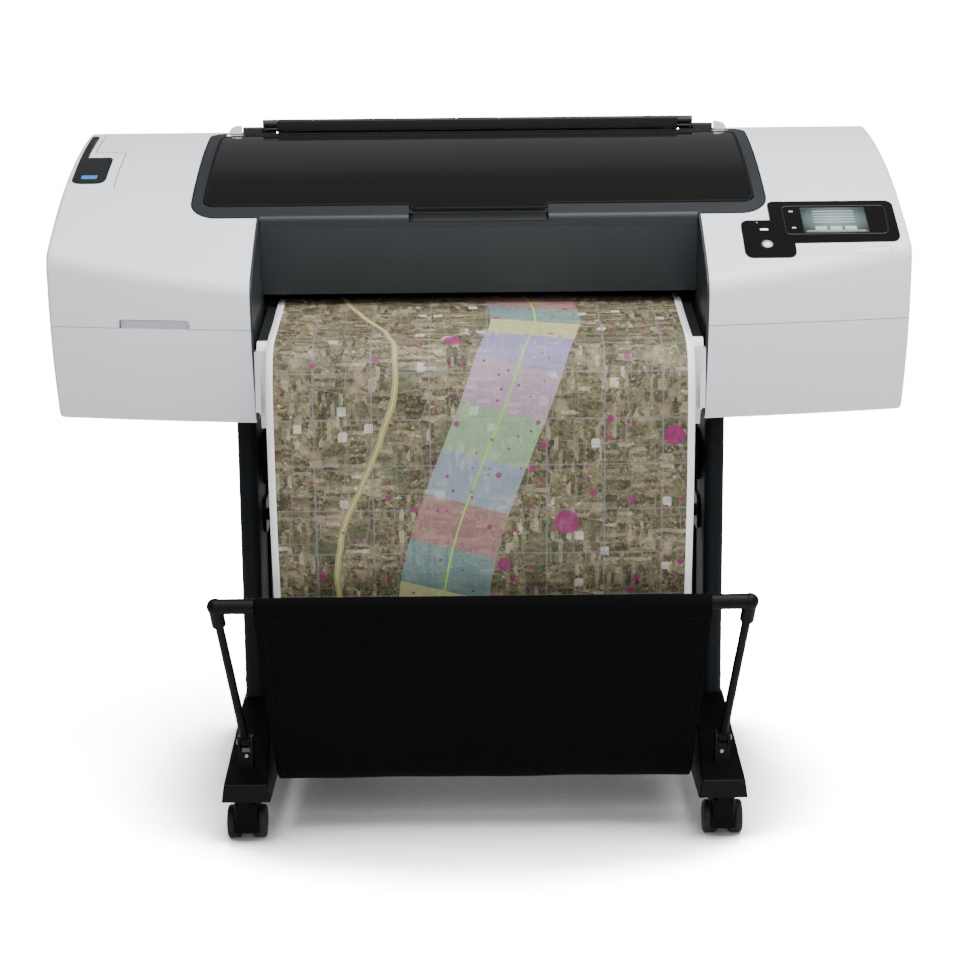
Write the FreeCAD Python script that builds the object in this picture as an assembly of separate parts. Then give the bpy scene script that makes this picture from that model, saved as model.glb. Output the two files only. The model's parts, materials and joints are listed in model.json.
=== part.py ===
"""Large format plotter on a wheeled stand, with a paper roll at the back and a fabric catch bin.

Frame: millimetres, +X to the right of someone facing the front, +Y to the back, +Z up.
The origin is on the floor, under the middle of the bounding box.
One STEP file is written for each piece, in parts/.
"""
import FreeCAD
import Part
import math
import os

V = FreeCAD.Vector
X_AXIS = V(1, 0, 0)
Y_AXIS = V(0, 1, 0)
Z_AXIS = V(0, 0, 1)

# Driving dimensions
HALF_WIDTH = 631.5          # half the overall width
HALF_DEPTH = 330.5          # half the overall depth
BODY_BOTTOM = 638.0
BODY_REAR = 250.0
WALL = 3.2                  # moulded covers
SEAM = 0.8                  # gap between two covers
OPENING_HALF = 326.5        # half the width of the opening between the two pods
PLATEN_HALF = 320.0
SHEET_HALF = 305.0          # 610 mm roll paper
SHEET_THICK = 0.4
TOP_ARC = ((-228, 858), (-7, 975), (240, 1038))      # (y, z) of the curved top
NOSE_FRONT_ARC = ((-270, 822), (-256, 735), (-226, 645))  # (y, z) of the front at x = 0
FRONT_PLAN_RADIUS = 2316.0  # the front bulges towards the user
NOSE_FILLET = 30.0
END_FILLET = 8.0
DOOR_SEAM_Z = 781.0
DOOR_REAR_Y = -100.0
TOP_SEAM_Y = -20.0
REAR_SEAM_Y = 235.0
SIDE_SEAM_Z = 960.0
SURROUND_HALF = 430.0
SURROUND_FRONT = -107.0
SURROUND_EDGE_RADIUS = 9.0   # front edge of the surround, over the opening
SURROUND_LIP = 14.0          # how far the front edge comes down
SURROUND_REAR = 225.0
LID_HALF = 413.0
LID_FRONT = -78.5
LID_REAR = 203.0
LID_TAB_HALF = 103.0
LID_TAB_FRONT = -91.0
ROLL_CENTRE = (245.0, 962.0)
ROLL_RADIUS = 60.0
ROLL_CORE_RADIUS = 25.4
COVER_RADIUS = 82.0
COVER_HINGE = (236.0, 1043.0)
COVER_PIN_RADIUS = 2.5
BUTTON_Y = -180.0
LEVER_PIVOT_Y = 208.0
LEVER_PIVOT_RADIUS = 4.6
LEVER_SLOT_REAR = 217.5     # room behind the pivot for the lifted lever
FEED_CENTRE = (100.0, 785.0)
FEED_RADIUS = 15.0
PINCH_RADIUS = 8.0
RAIL_Y = (75.0, 95.0)
RAIL_Z = (860.0, 900.0)
CARRIAGE_X = (380.0, 490.0)
LEG_OUTER = 378.0
LEG_WIDTH = 30.0
LEG_FRONT = -35.0
LEG_REAR = 155.0
FOOT_X = (320.0, 393.0)
FOOT_FRONT = -270.0
FOOT_BOTTOM = 75.0
FOOT_FRONT_TOP = 102.0
FOOT_LEG_TOP = 165.0
CASTER_X = 361.0
CASTER_Y = (-234.0, 276.0)  # swivel axes
CASTER_TRAIL = 22.0
HOOD_RADIUS = 31.5
HOOD_HALF = 20.0
WHEEL_RADIUS = 25.0
WHEEL_SPAN = (8.5, 29.5)     # one wheel, measured along the axle from the middle
TUBE_CENTRE = (-317.6, 391.0)
TUBE_RADIUS = 10.8
TUBE_HALF = 386.0
SLING_HALF = 330.0
BIN_PIVOT = (-217.0, 152.0)
BIN_PIVOT_X = 360.0
BIN_RAIL = (58.0, 442.0)
INK_X = (346.0, 606.0)


# ---------------------------------------------------------------- helpers
def box(x0, x1, y0, y1, z0, z1):
    return Part.makeBox(x1 - x0, y1 - y0, z1 - z0, V(x0, y0, z0))


def cyl_x(x0, x1, y, z, radius):
    return Part.makeCylinder(radius, x1 - x0, V(x0, y, z), X_AXIS)


def cyl_z(x, y, z0, z1, radius):
    return Part.makeCylinder(radius, z1 - z0, V(x, y, z0), Z_AXIS)


def rod(start, end, radius):
    path = V(*end) - V(*start)
    return Part.makeCylinder(radius, path.Length, V(*start), path)


def circle_from(three_points):
    """Centre (y, z) and radius of the circle through three (y, z) points."""
    circle = Part.Arc(*[V(0, y, z) for y, z in three_points]).toShape().Curve
    return circle.Center.y, circle.Center.z, circle.Radius


def prism_x(points, x0, x1):
    """Polygon of (y, z) points, extruded along X."""
    corners = [V(x0, y, z) for y, z in points]
    wire = Part.makePolygon(corners + corners[:1])
    return Part.Face(wire).extrude(V(x1 - x0, 0, 0))


def prism_y(points, y0, y1):
    """Polygon of (x, z) points, extruded along Y."""
    corners = [V(x, y0, z) for x, z in points]
    wire = Part.makePolygon(corners + corners[:1])
    return Part.Face(wire).extrude(V(0, y1 - y0, 0))


def prism_z(points, z0, z1, radii=()):
    """Polygon of (x, y) points, extruded along Z, with a fillet radius for each vertical edge."""
    corners = [V(x, y, z0) for x, y in points]
    wire = Part.makePolygon(corners + corners[:1])
    solid = Part.Face(wire).extrude(V(0, 0, z1 - z0))
    for (x, y), radius in zip(points, radii):
        if radius:
            edge = [e for e in solid.Edges if vertical_at(e, x, y)]
            solid = solid.makeFillet(radius, edge)
    return solid


def vertical_at(edge, x, y):
    ends = [v.Point for v in edge.Vertexes]
    return len(ends) == 2 and all(abs(p.x - x) < 0.01 and abs(p.y - y) < 0.01 for p in ends)


def round_edges(solid, radius, wanted):
    """Fillet every edge whose middle point satisfies wanted(point, edge)."""
    edges = []
    for edge in solid.Edges:
        first, last = edge.ParameterRange
        if wanted(edge.valueAt((first + last) / 2), edge):
            edges.append(edge)
    return solid.makeFillet(radius, edges)


def along_x(edge):
    return len(edge.Vertexes) == 2 and abs(edge.tangentAt(edge.FirstParameter).x) > 0.999


def ribbon(points, thick, x0, x1):
    """Curved sheet: a smooth (y, z) path, given a thickness to its left, extruded along X."""
    path = Part.BSplineCurve()
    path.interpolate([V(0, y, z) for y, z in points])
    steps = 6 * len(points)
    near = []
    far = []
    for i in range(steps + 1):
        u = path.FirstParameter + (path.LastParameter - path.FirstParameter) * i / steps
        point = path.value(u)
        along = path.tangent(u)[0]
        side = V(0, -along.z, along.y)
        near.append(V(x0, point.y, point.z))
        far.append(V(x0, point.y, point.z) + side * thick)
    curves = []
    for row in (near, far):
        curve = Part.BSplineCurve()
        curve.interpolate(row)
        curves.append(curve.toShape())
    wire = Part.Wire([curves[0], Part.makeLine(near[-1], far[-1]), curves[1],
                      Part.makeLine(far[0], near[0])])
    return Part.Face(wire).extrude(V(x1 - x0, 0, 0))


def mirror_x(shape):
    return shape.mirror(V(0, 0, 0), X_AXIS)


def save(name, shape):
    solids = shape.Solids
    if not shape.isValid() or not solids:
        print("CHECK", name, "valid", shape.isValid(), "solids", len(solids))
    solid = solids[0] if len(solids) == 1 else Part.makeCompound(solids)
    solid.exportStep("parts/" + name + ".step")


def save_pair(name, right):
    save(name + "_right", right)
    save(name + "_left", mirror_x(right))


# ---------------------------------------------------------------- outer skin
TOP_Y, TOP_Z, TOP_RADIUS = circle_from(TOP_ARC)
FRONT_Y, FRONT_Z, FRONT_RADIUS = circle_from(NOSE_FRONT_ARC)


def top_height(y, lift=0.0):
    """Height of the curved top at y."""
    return TOP_Z + math.sqrt((TOP_RADIUS + lift) ** 2 - (y - TOP_Y) ** 2)


def under_top(lift):
    """Everything below the curved top, raised by lift."""
    return cyl_x(-700, 700, TOP_Y, TOP_Z, TOP_RADIUS + lift)


def top_skin(plan, upper, lower):
    """The part of plan that lies between two offsets of the curved top."""
    return plan.common(under_top(upper)).cut(under_top(lower))


def body(inset):
    """The whole outer form, moved inwards by inset."""
    front = NOSE_FRONT_ARC[0][0]
    axis_y = front + FRONT_PLAN_RADIUS
    section = box(-HALF_WIDTH + inset, HALF_WIDTH - inset, -400, BODY_REAR - inset,
                  BODY_BOTTOM + inset, 1100)
    section = section.common(under_top(-inset))
    radius = FRONT_RADIUS - inset
    # The front is a vertical arc swept round an upright axis far behind the machine.
    arc_from_axis = axis_y - FRONT_Y
    low = BODY_BOTTOM - 40
    high = 900.0

    def reach(z):
        return arc_from_axis + math.sqrt(radius ** 2 - (z - FRONT_Z) ** 2)

    middle = (low + high) / 2
    arc = Part.Arc(V(reach(low), 0, low), V(reach(middle), 0, middle), V(reach(high), 0, high))
    top = 1100.0
    lines = [arc.toShape(),
             Part.makeLine(V(reach(high), 0, high), V(reach(high), 0, top)),
             Part.makeLine(V(reach(high), 0, top), V(0, 0, top)),
             Part.makeLine(V(0, 0, top), V(0, 0, low)),
             Part.makeLine(V(0, 0, low), V(reach(low), 0, low))]
    half_section = Part.Face(Part.Wire(lines))
    half_section.rotate(V(0, 0, 0), Z_AXIS, -90 - 24)
    front_form = half_section.revolve(V(0, 0, 0), Z_AXIS, 48)
    front_form.translate(V(0, axis_y, 0))
    form = section.common(front_form)
    nose = NOSE_FILLET - inset
    form = round_edges(form, nose, lambda p, e: p.y < -150 and 820 < p.z < 900 and e.Length > 900)
    side = HALF_WIDTH - inset
    back = BODY_REAR - inset
    return round_edges(form, max(END_FILLET - inset, 1.0),
                       lambda p, e: abs(abs(p.x) - side) < 0.01 or (abs(p.y - back) < 0.01 and p.z > 900))


# ---------------------------------------------------------------- outlines in plan
def surround_plan(grow=0.0):
    points = [(-SURROUND_HALF - grow, SURROUND_FRONT - grow), (SURROUND_HALF + grow, SURROUND_FRONT - grow),
              (SURROUND_HALF + grow, SURROUND_REAR + grow), (-SURROUND_HALF - grow, SURROUND_REAR + grow)]
    return prism_z(points, 800, 1100, (40 + grow, 40 + grow, 22, 22))


def lid_plan(grow=0.0):
    glass = prism_z([(-LID_HALF - grow, LID_FRONT - grow), (LID_HALF + grow, LID_FRONT - grow),
                     (LID_HALF + grow, LID_REAR + grow), (-LID_HALF - grow, LID_REAR + grow)],
                    800, 1100, (18, 18, 14, 14))
    tab = prism_z([(-LID_TAB_HALF - grow, LID_TAB_FRONT - grow), (LID_TAB_HALF + grow, LID_TAB_FRONT - grow),
                   (LID_TAB_HALF + grow, LID_FRONT + 10), (-LID_TAB_HALF - grow, LID_FRONT + 10)],
                  800, 1100, (5, 5, 0, 0))
    return glass.fuse(tab).removeSplitter()


def bezel_plan(grow=0.0):
    """L-shaped control panel: a wide part, and a lobe at its front left corner."""
    g = grow
    wide = prism_z([(430 - g, -177 - g), (616 + g, -175 - g), (616 + g, -82 + g), (430 - g, -82 + g)],
                   840, 1100, (4, 13, 12, 9))
    lobe = prism_z([(386 - g, -205 - g), (461 + g, -205 - g), (461 + g, -128 + g), (386 - g, -128 + g)],
                   840, 1100, (12, 12, 2, 11))
    return wide.fuse(lobe).removeSplitter()


def lever_plan(grow=0.0, rear=LEVER_PIVOT_Y + 1):
    tab = prism_z([(-621 - grow, -4 - grow), (-572 + grow, -4 - grow), (-572 + grow, 88 + grow),
                   (-621 - grow, 88 + grow)], 800, 1100, (13, 13, 2, 2))
    arm = box(-621 - grow, -611 + grow, 80, rear, 800, 1100)
    return tab.fuse(arm).removeSplitter()


def housing_plan(grow=0.0):
    front = box(-700, -554 + grow, TOP_SEAM_Y + SEAM / 2, 118 + grow, 700, 1100)
    back = box(-700, -602 + grow, 100, 228 + grow, 700, 1100)
    return front.fuse(back)


# ---------------------------------------------------------------- covers
SKIN = body(0.0).cut(body(WALL))
RIGHT = box(OPENING_HALF + 3.3, 700, -400, 300, 600, 1100)


def above_seam(gap):
    return box(-700, 700, -400, TOP_SEAM_Y - gap, DOOR_SEAM_Z + gap, 1100)


def side_region():
    gap = SEAM / 2
    low = box(HALF_WIDTH - 12, 700, DOOR_REAR_Y + gap, REAR_SEAM_Y - gap, BODY_BOTTOM + WALL + 0.4,
              DOOR_SEAM_Z + gap)
    high = box(HALF_WIDTH - 12, 700, TOP_SEAM_Y + gap, REAR_SEAM_Y - gap, DOOR_SEAM_Z - 1,
               SIDE_SEAM_Z - gap)
    return low.fuse(high)


def make_covers():
    gap = SEAM / 2
    pod_skin = SKIN.common(RIGHT).cut(surround_plan(0.5))
    front_right = pod_skin.common(above_seam(gap))
    front_left = mirror_x(front_right)
    front_right = front_right.cut(bezel_plan(0.3))
    notch = box(-525, -419, -400, -100, DOOR_SEAM_Z - 5, DOOR_SEAM_Z + 13)
    notch = round_edges(notch, 5, lambda p, e: p.z > DOOR_SEAM_Z + 12 and abs(p.x + 472) > 50)
    hood = body(0.5).cut(body(WALL + 12.0)).common(
        box(-528, -416, -400, -150, DOOR_SEAM_Z + gap, DOOR_SEAM_Z + 16))
    front_left = front_left.fuse(hood).cut(notch).removeSplitter()
    save("front_cover_right", front_right)
    save("front_cover_left", front_left)

    lower = pod_skin.common(box(-700, 700, -400, DOOR_REAR_Y - gap, 600, DOOR_SEAM_Z - gap))
    save("lower_cover_right", lower)
    door = mirror_x(lower)
    pull = body(WALL + 9.0).cut(body(WALL + 12.0)).common(
        box(-524, -420, -400, -150, DOOR_SEAM_Z - 30, DOOR_SEAM_Z + 10.5))
    shelf = body(1.0).cut(body(WALL + 12.0)).common(
        box(-524, -420, -400, -150, DOOR_SEAM_Z - 6, DOOR_SEAM_Z - 3))
    save("ink_door", door.fuse([pull, shelf]).removeSplitter())

    top_right = pod_skin.common(box(-700, 700, TOP_SEAM_Y + gap, REAR_SEAM_Y - gap, SIDE_SEAM_Z + gap, 1100))
    top_left = mirror_x(top_right)
    save("top_cover_right", top_right)
    housing = top_left.common(housing_plan(-gap)).cut(lever_plan(1.2, LEVER_SLOT_REAR))
    tray = top_skin(lever_plan(2.5, LEVER_SLOT_REAR + 2), -10, -12)
    wall = top_skin(lever_plan(2.5, LEVER_SLOT_REAR + 2), -2, -12).cut(lever_plan(1.2, LEVER_SLOT_REAR))
    save("lever_housing", housing.fuse([tray, wall]).common(body(0.0)).removeSplitter())
    save("top_cover_left", top_left.cut(housing_plan(gap)))

    save_pair("side_cover", SKIN.common(side_region()))
    make_rear_and_bottom()


def make_rear_and_bottom():
    gap = SEAM / 2
    rear = SKIN.common(box(-700, 700, REAR_SEAM_Y + gap, 300, BODY_BOTTOM + WALL + 0.4, 1100))
    bay = box(-OPENING_HALF - 3.3, OPENING_HALF + 3.3, 200, 300, 885, 1100)
    vents = [box(x, x + 60, 240, 260, z, z + 4) for x in (300, 380, 460) for z in range(700, 800, 12)]
    recess = box(-575, -495, 240, 260, 672, 712)
    save("rear_cover", rear.cut(bay).cut(Part.makeCompound(vents)).cut(recess))
    floor = SKIN.common(box(-700, 700, DOOR_REAR_Y + gap, REAR_SEAM_Y + 30, 600, BODY_BOTTOM + WALL))
    middle = box(-318, 318, -216, DOOR_REAR_Y + 20, BODY_BOTTOM, BODY_BOTTOM + WALL)
    save("bottom_pan", floor.fuse(middle).removeSplitter())


def make_surround():
    half = OPENING_HALF - 1
    ring = top_skin(surround_plan().cut(lid_plan(0.8)), 0.4, -4)
    ring = ring.cut(box(-half, half, SURROUND_FRONT - 3, SURROUND_FRONT + 10, 800, 1100))
    edge = box(-half, half, SURROUND_FRONT, SURROUND_FRONT + 12, 800, 1100)
    edge = top_skin(edge, 0.4, -SURROUND_LIP)
    crown = top_height(SURROUND_FRONT)
    edge = round_edges(edge, SURROUND_EDGE_RADIUS,
                       lambda p, e: along_x(e) and abs(p.y - SURROUND_FRONT) < 0.1 and p.z > crown - 2)
    edge = edge.cut(box(-half + 4, half - 4, SURROUND_FRONT + 3, -90, 880, crown - 4.5))
    ring = ring.fuse(edge)
    # A scoop for the fingers, under the lid's tab.
    rear = LID_TAB_FRONT - 0.8
    low = crown - 9
    half = LID_TAB_HALF + 1
    scoop = prism_x([(rear, 960), (rear, crown + 4.5), (rear - 2.5, crown + 3.5), (SURROUND_FRONT - 0.5, low),
                     (SURROUND_FRONT - 9, low), (SURROUND_FRONT - 9, 960)], -half, half)
    wall = prism_x([(rear - 2.2, crown + 3.8), (SURROUND_FRONT, low + 0.5), (SURROUND_FRONT, low - 4),
                    (SURROUND_FRONT + 3, low - 4), (rear + 0.2, crown - 0.2)], -half - 3, half + 3)
    ledge = top_skin(lid_plan(4).cut(lid_plan(-6)), -4, -7).cut(box(-500, 500, 150, 300, 800, 1100))
    ledge = ledge.cut(box(-LID_TAB_HALF - 10, LID_TAB_HALF + 10, -120, -40, 800, 1100))
    save("lid_surround", ring.fuse([wall, ledge]).cut(scoop).removeSplitter())


def make_lid():
    glass = top_skin(lid_plan(), 1.2, -3)
    half = LID_TAB_HALF - 6
    front = box(-half, half, LID_TAB_FRONT + 1, LID_TAB_FRONT + 3.4, 800, 1100)
    front = top_skin(front, -2, -6)
    back = round_edges(box(-320, 320, 190, 202, 1020, 1033), 3, lambda p, e: along_x(e) and p.z < 1021)
    save("window_lid", glass.fuse([front, back.common(under_top(-1))]).removeSplitter())


def make_control_panel():
    bezel = bezel_plan().common(body(-1.6)).cut(body(2.2))
    screen = prism_z([(477, -157), (573, -157), (573, -98), (477, -98)], 700, 1100, (2, 2, 2, 2))
    screen_cut = prism_z([(476.7, -157.3), (573.3, -157.3), (573.3, -97.7), (476.7, -97.7)],
                         700, 1100, (2, 2, 2, 2))
    button_at = V(420, BUTTON_Y, top_height(BUTTON_Y))
    normal = V(0, button_at.y - TOP_Y, button_at.z - TOP_Z)
    normal.normalize()
    hole = Part.makeCylinder(6.3, 40, button_at - normal * 20, normal)
    bezel = bezel.cut(hole).cut(screen_cut.common(body(-3)).cut(body(0.9)))
    save("control_bezel", bezel)
    save("touch_screen", screen.common(body(-1.2)).cut(body(0.8)))
    button = Part.makeCylinder(6.0, 6.2, button_at - normal * 3.4, normal)
    button = round_edges(button, 0.8, lambda p, e: (p - button_at).dot(normal) > 2.7 and len(e.Vertexes) == 1)
    save("power_button", button)


def make_lever():
    tab = top_skin(lever_plan(), 2.4, -3.4)
    drop = LEVER_PIVOT_RADIUS
    pivot = cyl_x(-621, -611, LEVER_PIVOT_Y, top_height(LEVER_PIVOT_Y) - drop, drop)
    save("loading_lever", tab.fuse(pivot).removeSplitter())


def make_inner_walls():
    x0 = OPENING_HALF
    plate = body(1.6).common(box(x0, x0 + 2.9, -400, 246, BODY_BOTTOM + WALL + 0.3, 1100))
    plate = plate.cut(box(x0 - 1, x0 + 9, -66, 116, 806, 942))
    plate = plate.cut(cyl_x(x0 - 1, x0 + 9, FEED_CENTRE[0], FEED_CENTRE[1], 5.05))
    plate = plate.cut(surround_plan(0.4).cut(under_top(-8)))
    save_pair("inner_wall", plate)


# ---------------------------------------------------------------- middle of the machine
def make_middle():
    front = SURROUND_FRONT
    top = top_height(front) - SURROUND_LIP - 2
    recess = prism_x([(front, top), (front + 3.5, top), (-79.5, 817), (-58, 812), (-58, 809), (-83, 813)],
                     -OPENING_HALF + 0.4, OPENING_HALF - 0.4)
    save("recess_panel", recess)

    bed = prism_x([(66, 798.4), (-52, 798.4), (-62, 794), (-150, 779.8), (-238, 765.5), (-246.5, 760),
                   (-238, 755), (-150, 770), (-62, 785), (-50, 790), (66, 790)], -PLATEN_HALF, PLATEN_HALF)
    ribs = [box(x - 1.5, x + 1.5, -45, 62, 780, 791) for x in range(-300, 301, 60)]
    tabs = [box(x, x + 8, -48, 60, 774, 792) for x in (-PLATEN_HALF - 6.2, PLATEN_HALF - 1.8)]
    save("platen", bed.fuse(ribs + tabs).removeSplitter())

    def front_at(z):
        return FRONT_Y - math.sqrt(FRONT_RADIUS ** 2 - (z - FRONT_Z) ** 2)

    outer = [(front_at(z), z) for z in (754, 720, 690, 660, 634)]
    inner = [(y + 4, z) for y, z in reversed(outer)]
    inner[0] = (inner[0][0], 637.6)
    shell = [(-248, 766.5), (-253, 765.5), (-257.5, 761)] + outer
    shell = shell + [(outer[-1][0] + 10, 634), (outer[-1][0] + 10, 637.6)] + inner + [(-248, 762)]
    panel = prism_x(shell, -PLATEN_HALF, PLATEN_HALF)
    tabs = [box(x, x + 8, -236, -216, 660, 748) for x in (-PLATEN_HALF - 6.2, PLATEN_HALF - 1.8)]
    webs = [box(x, x + 3, -250, -216, 660, 748) for x in (-PLATEN_HALF, PLATEN_HALF - 3)]
    save("front_panel", panel.fuse(tabs + webs).removeSplitter())

    guide = ribbon([(197, 910), (190, 860), (170, 820), (140, 796), (118, 790)], 1.5, -326.2, 326.2)
    save("paper_guide", guide)


def sheet_path():
    return [(183.0, 962), (181, 900), (168, 845), (140, 809), (100, 800.3), (20, 799.6), (-50, 799),
            (-110, 789), (-180, 777.5), (-240, 768.5), (-276, 756), (-296, 726), (-304, 680), (-303.5, 600),
            (-297, 518), (-287.5, 450), (-277, 394), (-264, 320), (-248, 245), (-228, 170)]


def make_paper():
    save("printed_sheet", ribbon(sheet_path(), -SHEET_THICK, -SHEET_HALF, SHEET_HALF))
    y, z = ROLL_CENTRE
    wound = cyl_x(-SHEET_HALF, SHEET_HALF, y, z, ROLL_RADIUS)
    save("paper_roll", wound.cut(cyl_x(-400, 400, y, z, ROLL_CORE_RADIUS)))
    core = cyl_x(-SHEET_HALF - 1, SHEET_HALF + 1, y, z, ROLL_CORE_RADIUS)
    core = core.cut(cyl_x(-280, 280, y, z, ROLL_CORE_RADIUS - 2.5))
    parts = [cyl_x(-324, 324, y, z, 8)]
    for x0, x1 in ((-313, -305.5), (305.5, 313)):
        hub = cyl_x(x0, x1, y, z, 56)
        hub = round_edges(hub, 2, lambda p, e: len(e.Vertexes) == 1)
        parts.append(hub)
    save("roll_spindle", core.fuse(parts).removeSplitter())
    save("roll_holders", Part.makeCompound([holder(1), holder(-1)]))


def holder(side):
    """Open-topped saddle that carries one end of the spindle."""
    y, z = ROLL_CENTRE
    plate = prism_x([(205, 900), (262, 900), (262, 955), (252, 974), (236, 974), (205, 940)], 315.5, 326.2)
    plate = plate.cut(cyl_x(300, 340, y, z, 8.3))
    plate = plate.cut(box(300, 340, y - 8.3, y + 8.3, z, z + 30))
    return plate if side > 0 else mirror_x(plate)


def make_roll_cover():
    y, z = ROLL_CENTRE
    ring = cyl_x(-325, 325, y, z, COVER_RADIUS).cut(cyl_x(-326, 326, y, z, COVER_RADIUS - 3.5))
    wedge = prism_x([(y, z), (y - 14, z + 120), (y + 140, z + 120), (y + 140, z - 22)], -400, 400)
    ring = ring.common(wedge)
    ends = cyl_x(-325, -321, y, z, COVER_RADIUS).common(wedge).cut(cyl_x(-330, 330, y, z, 66))
    pivot_y, pivot_z = COVER_HINGE
    # The front of the bar leans back, so that it clears the body when the cover is lifted.
    section = [(-3, -1), (-5, 7), (-6, 12.5), (-4, 14.5), (15, 14.5), (23, 7), (24, -7), (8, -2.5)]
    bar = prism_x([(pivot_y + dy, pivot_z + dz) for dy, dz in section], -325, 325)
    ribs = [box(x0, x1, pivot_y + t, pivot_y + t + 1.4, pivot_z + 14, pivot_z + 15.4)
            for t in (-1, 7) for x0, x1 in ((-325, -36), (36, 325))]
    pad = box(-33, 33, pivot_y - 4, pivot_y + 14, pivot_z + 14, pivot_z + 15.4)
    knobs = [cyl_x(x, x + 37, pivot_y + 1.5, pivot_z + 9, 6.4) for x in (-349, 312)]
    cheeks = [box(x, x + 3, pivot_y - 2.4, pivot_y + 5, pivot_z - 2.4, pivot_z + 8) for x in (-347, 344)]
    pin = cyl_x(-362, 362, pivot_y, pivot_z, COVER_PIN_RADIUS)
    cover = bar.fuse([ring, ends, mirror_x(ends), pin, pad] + ribs + knobs + cheeks)
    save("roll_cover", cover.removeSplitter())
    block = box(350, 381, pivot_y - 8, pivot_y + 8, 1020, pivot_z + 3.8)
    block = round_edges(block, 3, lambda p, e: along_x(e) and p.z > pivot_z + 3)
    block = block.cut(cyl_x(340, 364, pivot_y, pivot_z, COVER_PIN_RADIUS + 0.05)).cut(under_top(0.3))
    block = block.cut(box(340, 390, 200, 300, 900, pivot_z - 6))
    fin = box(331.5, 354, 246, 249.6, 1030, pivot_z + 2.5)
    fin = fin.fuse(box(350.5, 380.5, 242, 249.6, 1030, pivot_z + 1))
    block = block.fuse(fin.cut(under_top(0.3))).removeSplitter()
    outline = [(384, 1020), (384, 1049), (391, 1049), (398, 1047), (402.5, 1042), (404, 1020)]
    cap = prism_y(outline, 226.5, 246)
    cap = cap.cut(under_top(0.3))
    save("hinge_caps", Part.makeCompound([cap, mirror_x(cap)]))
    save("roll_cover_hinges", Part.makeCompound([block, mirror_x(block)]))


def make_transport():
    y, z = FEED_CENTRE
    roller = cyl_x(-310, 310, y, z, FEED_RADIUS)
    shaft = cyl_x(-329, 329, y, z, 5)
    gear = cyl_x(312, 318, y, z, 13)
    save("feed_roller", roller.fuse([shaft, gear]).removeSplitter())
    pinch_z = z + FEED_RADIUS + SHEET_THICK + 0.5 + PINCH_RADIUS
    rollers = [cyl_x(x - 14, x + 14, y, pinch_z, PINCH_RADIUS) for x in range(-280, 281, 80)]
    save("pinch_rollers", cyl_x(-316, 316, y, pinch_z, 3).fuse(rollers).removeSplitter())

    rail = box(-598, 598, RAIL_Y[0], RAIL_Y[1], RAIL_Z[0], RAIL_Z[1])
    rail = rail.cut(box(-600, 600, RAIL_Y[0] + 4, RAIL_Y[1] + 1, RAIL_Z[0] + 4, RAIL_Z[1] - 4))
    feet = [box(x, x + 14, RAIL_Y[0] + 4, RAIL_Y[1] + 25, BODY_BOTTOM + WALL, RAIL_Z[1] - 4)
            for x in (-598, 584)]
    arms = [box(x, x + 4, RAIL_Y[1] - 3, y + 8, pinch_z - 6, RAIL_Z[0] + 3) for x in (-316, 312)]
    rail = rail.fuse(feet + arms).cut(cyl_x(-330, 330, y, pinch_z, 3.05))
    save("carriage_rail", rail.removeSplitter())
    belt_y = RAIL_Y[0] - 12
    loop = belt_loop(belt_y, 9.0).cut(belt_loop(belt_y, 7.8))
    save("drive_belt", loop.common(box(-700, 700, belt_y - 3, belt_y + 3, 700, 1000)))
    for name, x in (("motor_pulley", 560), ("idler_pulley", -560)):
        wheel = Part.makeCylinder(7.5, 6, V(x, belt_y - 3, 880), Y_AXIS)
        axle = Part.makeCylinder(2.5, 15, V(x, belt_y - 4, 880), Y_AXIS)
        save(name, wheel.fuse(axle).removeSplitter())
    make_carriage(belt_y)


def belt_loop(y, radius):
    """Race-track solid round the two pulleys, standing on its edge."""
    ends = [Part.makeCylinder(radius, 6, V(x, y - 3, 880), Y_AXIS) for x in (-560, 560)]
    return box(-560, 560, y - 3, y + 3, 880 - radius, 880 + radius).fuse(ends)


def make_carriage(belt_y):
    x0, x1 = CARRIAGE_X
    block = box(x0, x1, -56, 56, 814, 922)
    block = round_edges(block, 8, lambda p, e: abs(p.z - 868) < 1)
    block = block.cut(box(x0 + 12, x1 - 12, -50, 40, 900, 930))
    wings = box(x0 + 8, x1 - 8, 50, 72, 842, 856).fuse(box(x0 + 8, x1 - 8, 50, 72, 904, 922))
    hook = box(x0 + 8, x1 - 8, 71, 100, 904, 912).fuse(box(x0 + 8, x1 - 8, 95.5, 101, 896, 912))
    heads = [box(x0 + 14 + 29 * i, x0 + 37 + 29 * i, -44, 34, 808, 815) for i in range(3)]
    save("carriage", block.fuse([wings, hook] + heads).removeSplitter())


# ---------------------------------------------------------------- inside the pods
def make_ink():
    x0, x1 = INK_X
    bay = box(x0, x1, -94, 40, BODY_BOTTOM + WALL + 0.2, 772).cut(box(x0 + 3, x1 - 3, -130, 36, 659, 768))
    bay = bay.cut(box(x0 + 3, x1 - 3, -80, 37, 600, 655))
    middle = (x0 + x1) / 2
    rib = box(middle - 3, middle + 3, -94, 40, 656, 771)
    save("ink_bay", mirror_x(bay.fuse(rib).removeSplitter()))
    for name, start in (("ink_cartridges_outer", middle + 4.5), ("ink_cartridges_inner", x0 + 4.5)):
        group = [cartridge(start + 40.6 * i) for i in range(3)]
        save(name, mirror_x(Part.makeCompound(group)))


def cartridge(x):
    shell = box(x, x + 38, -112, 20, 659.2, 756)
    shell = round_edges(shell, 3, lambda p, e: p.y < -111)
    grip = box(x + 9, x + 29, -118, -110, 700, 742)
    return shell.fuse(grip).removeSplitter()


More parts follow.
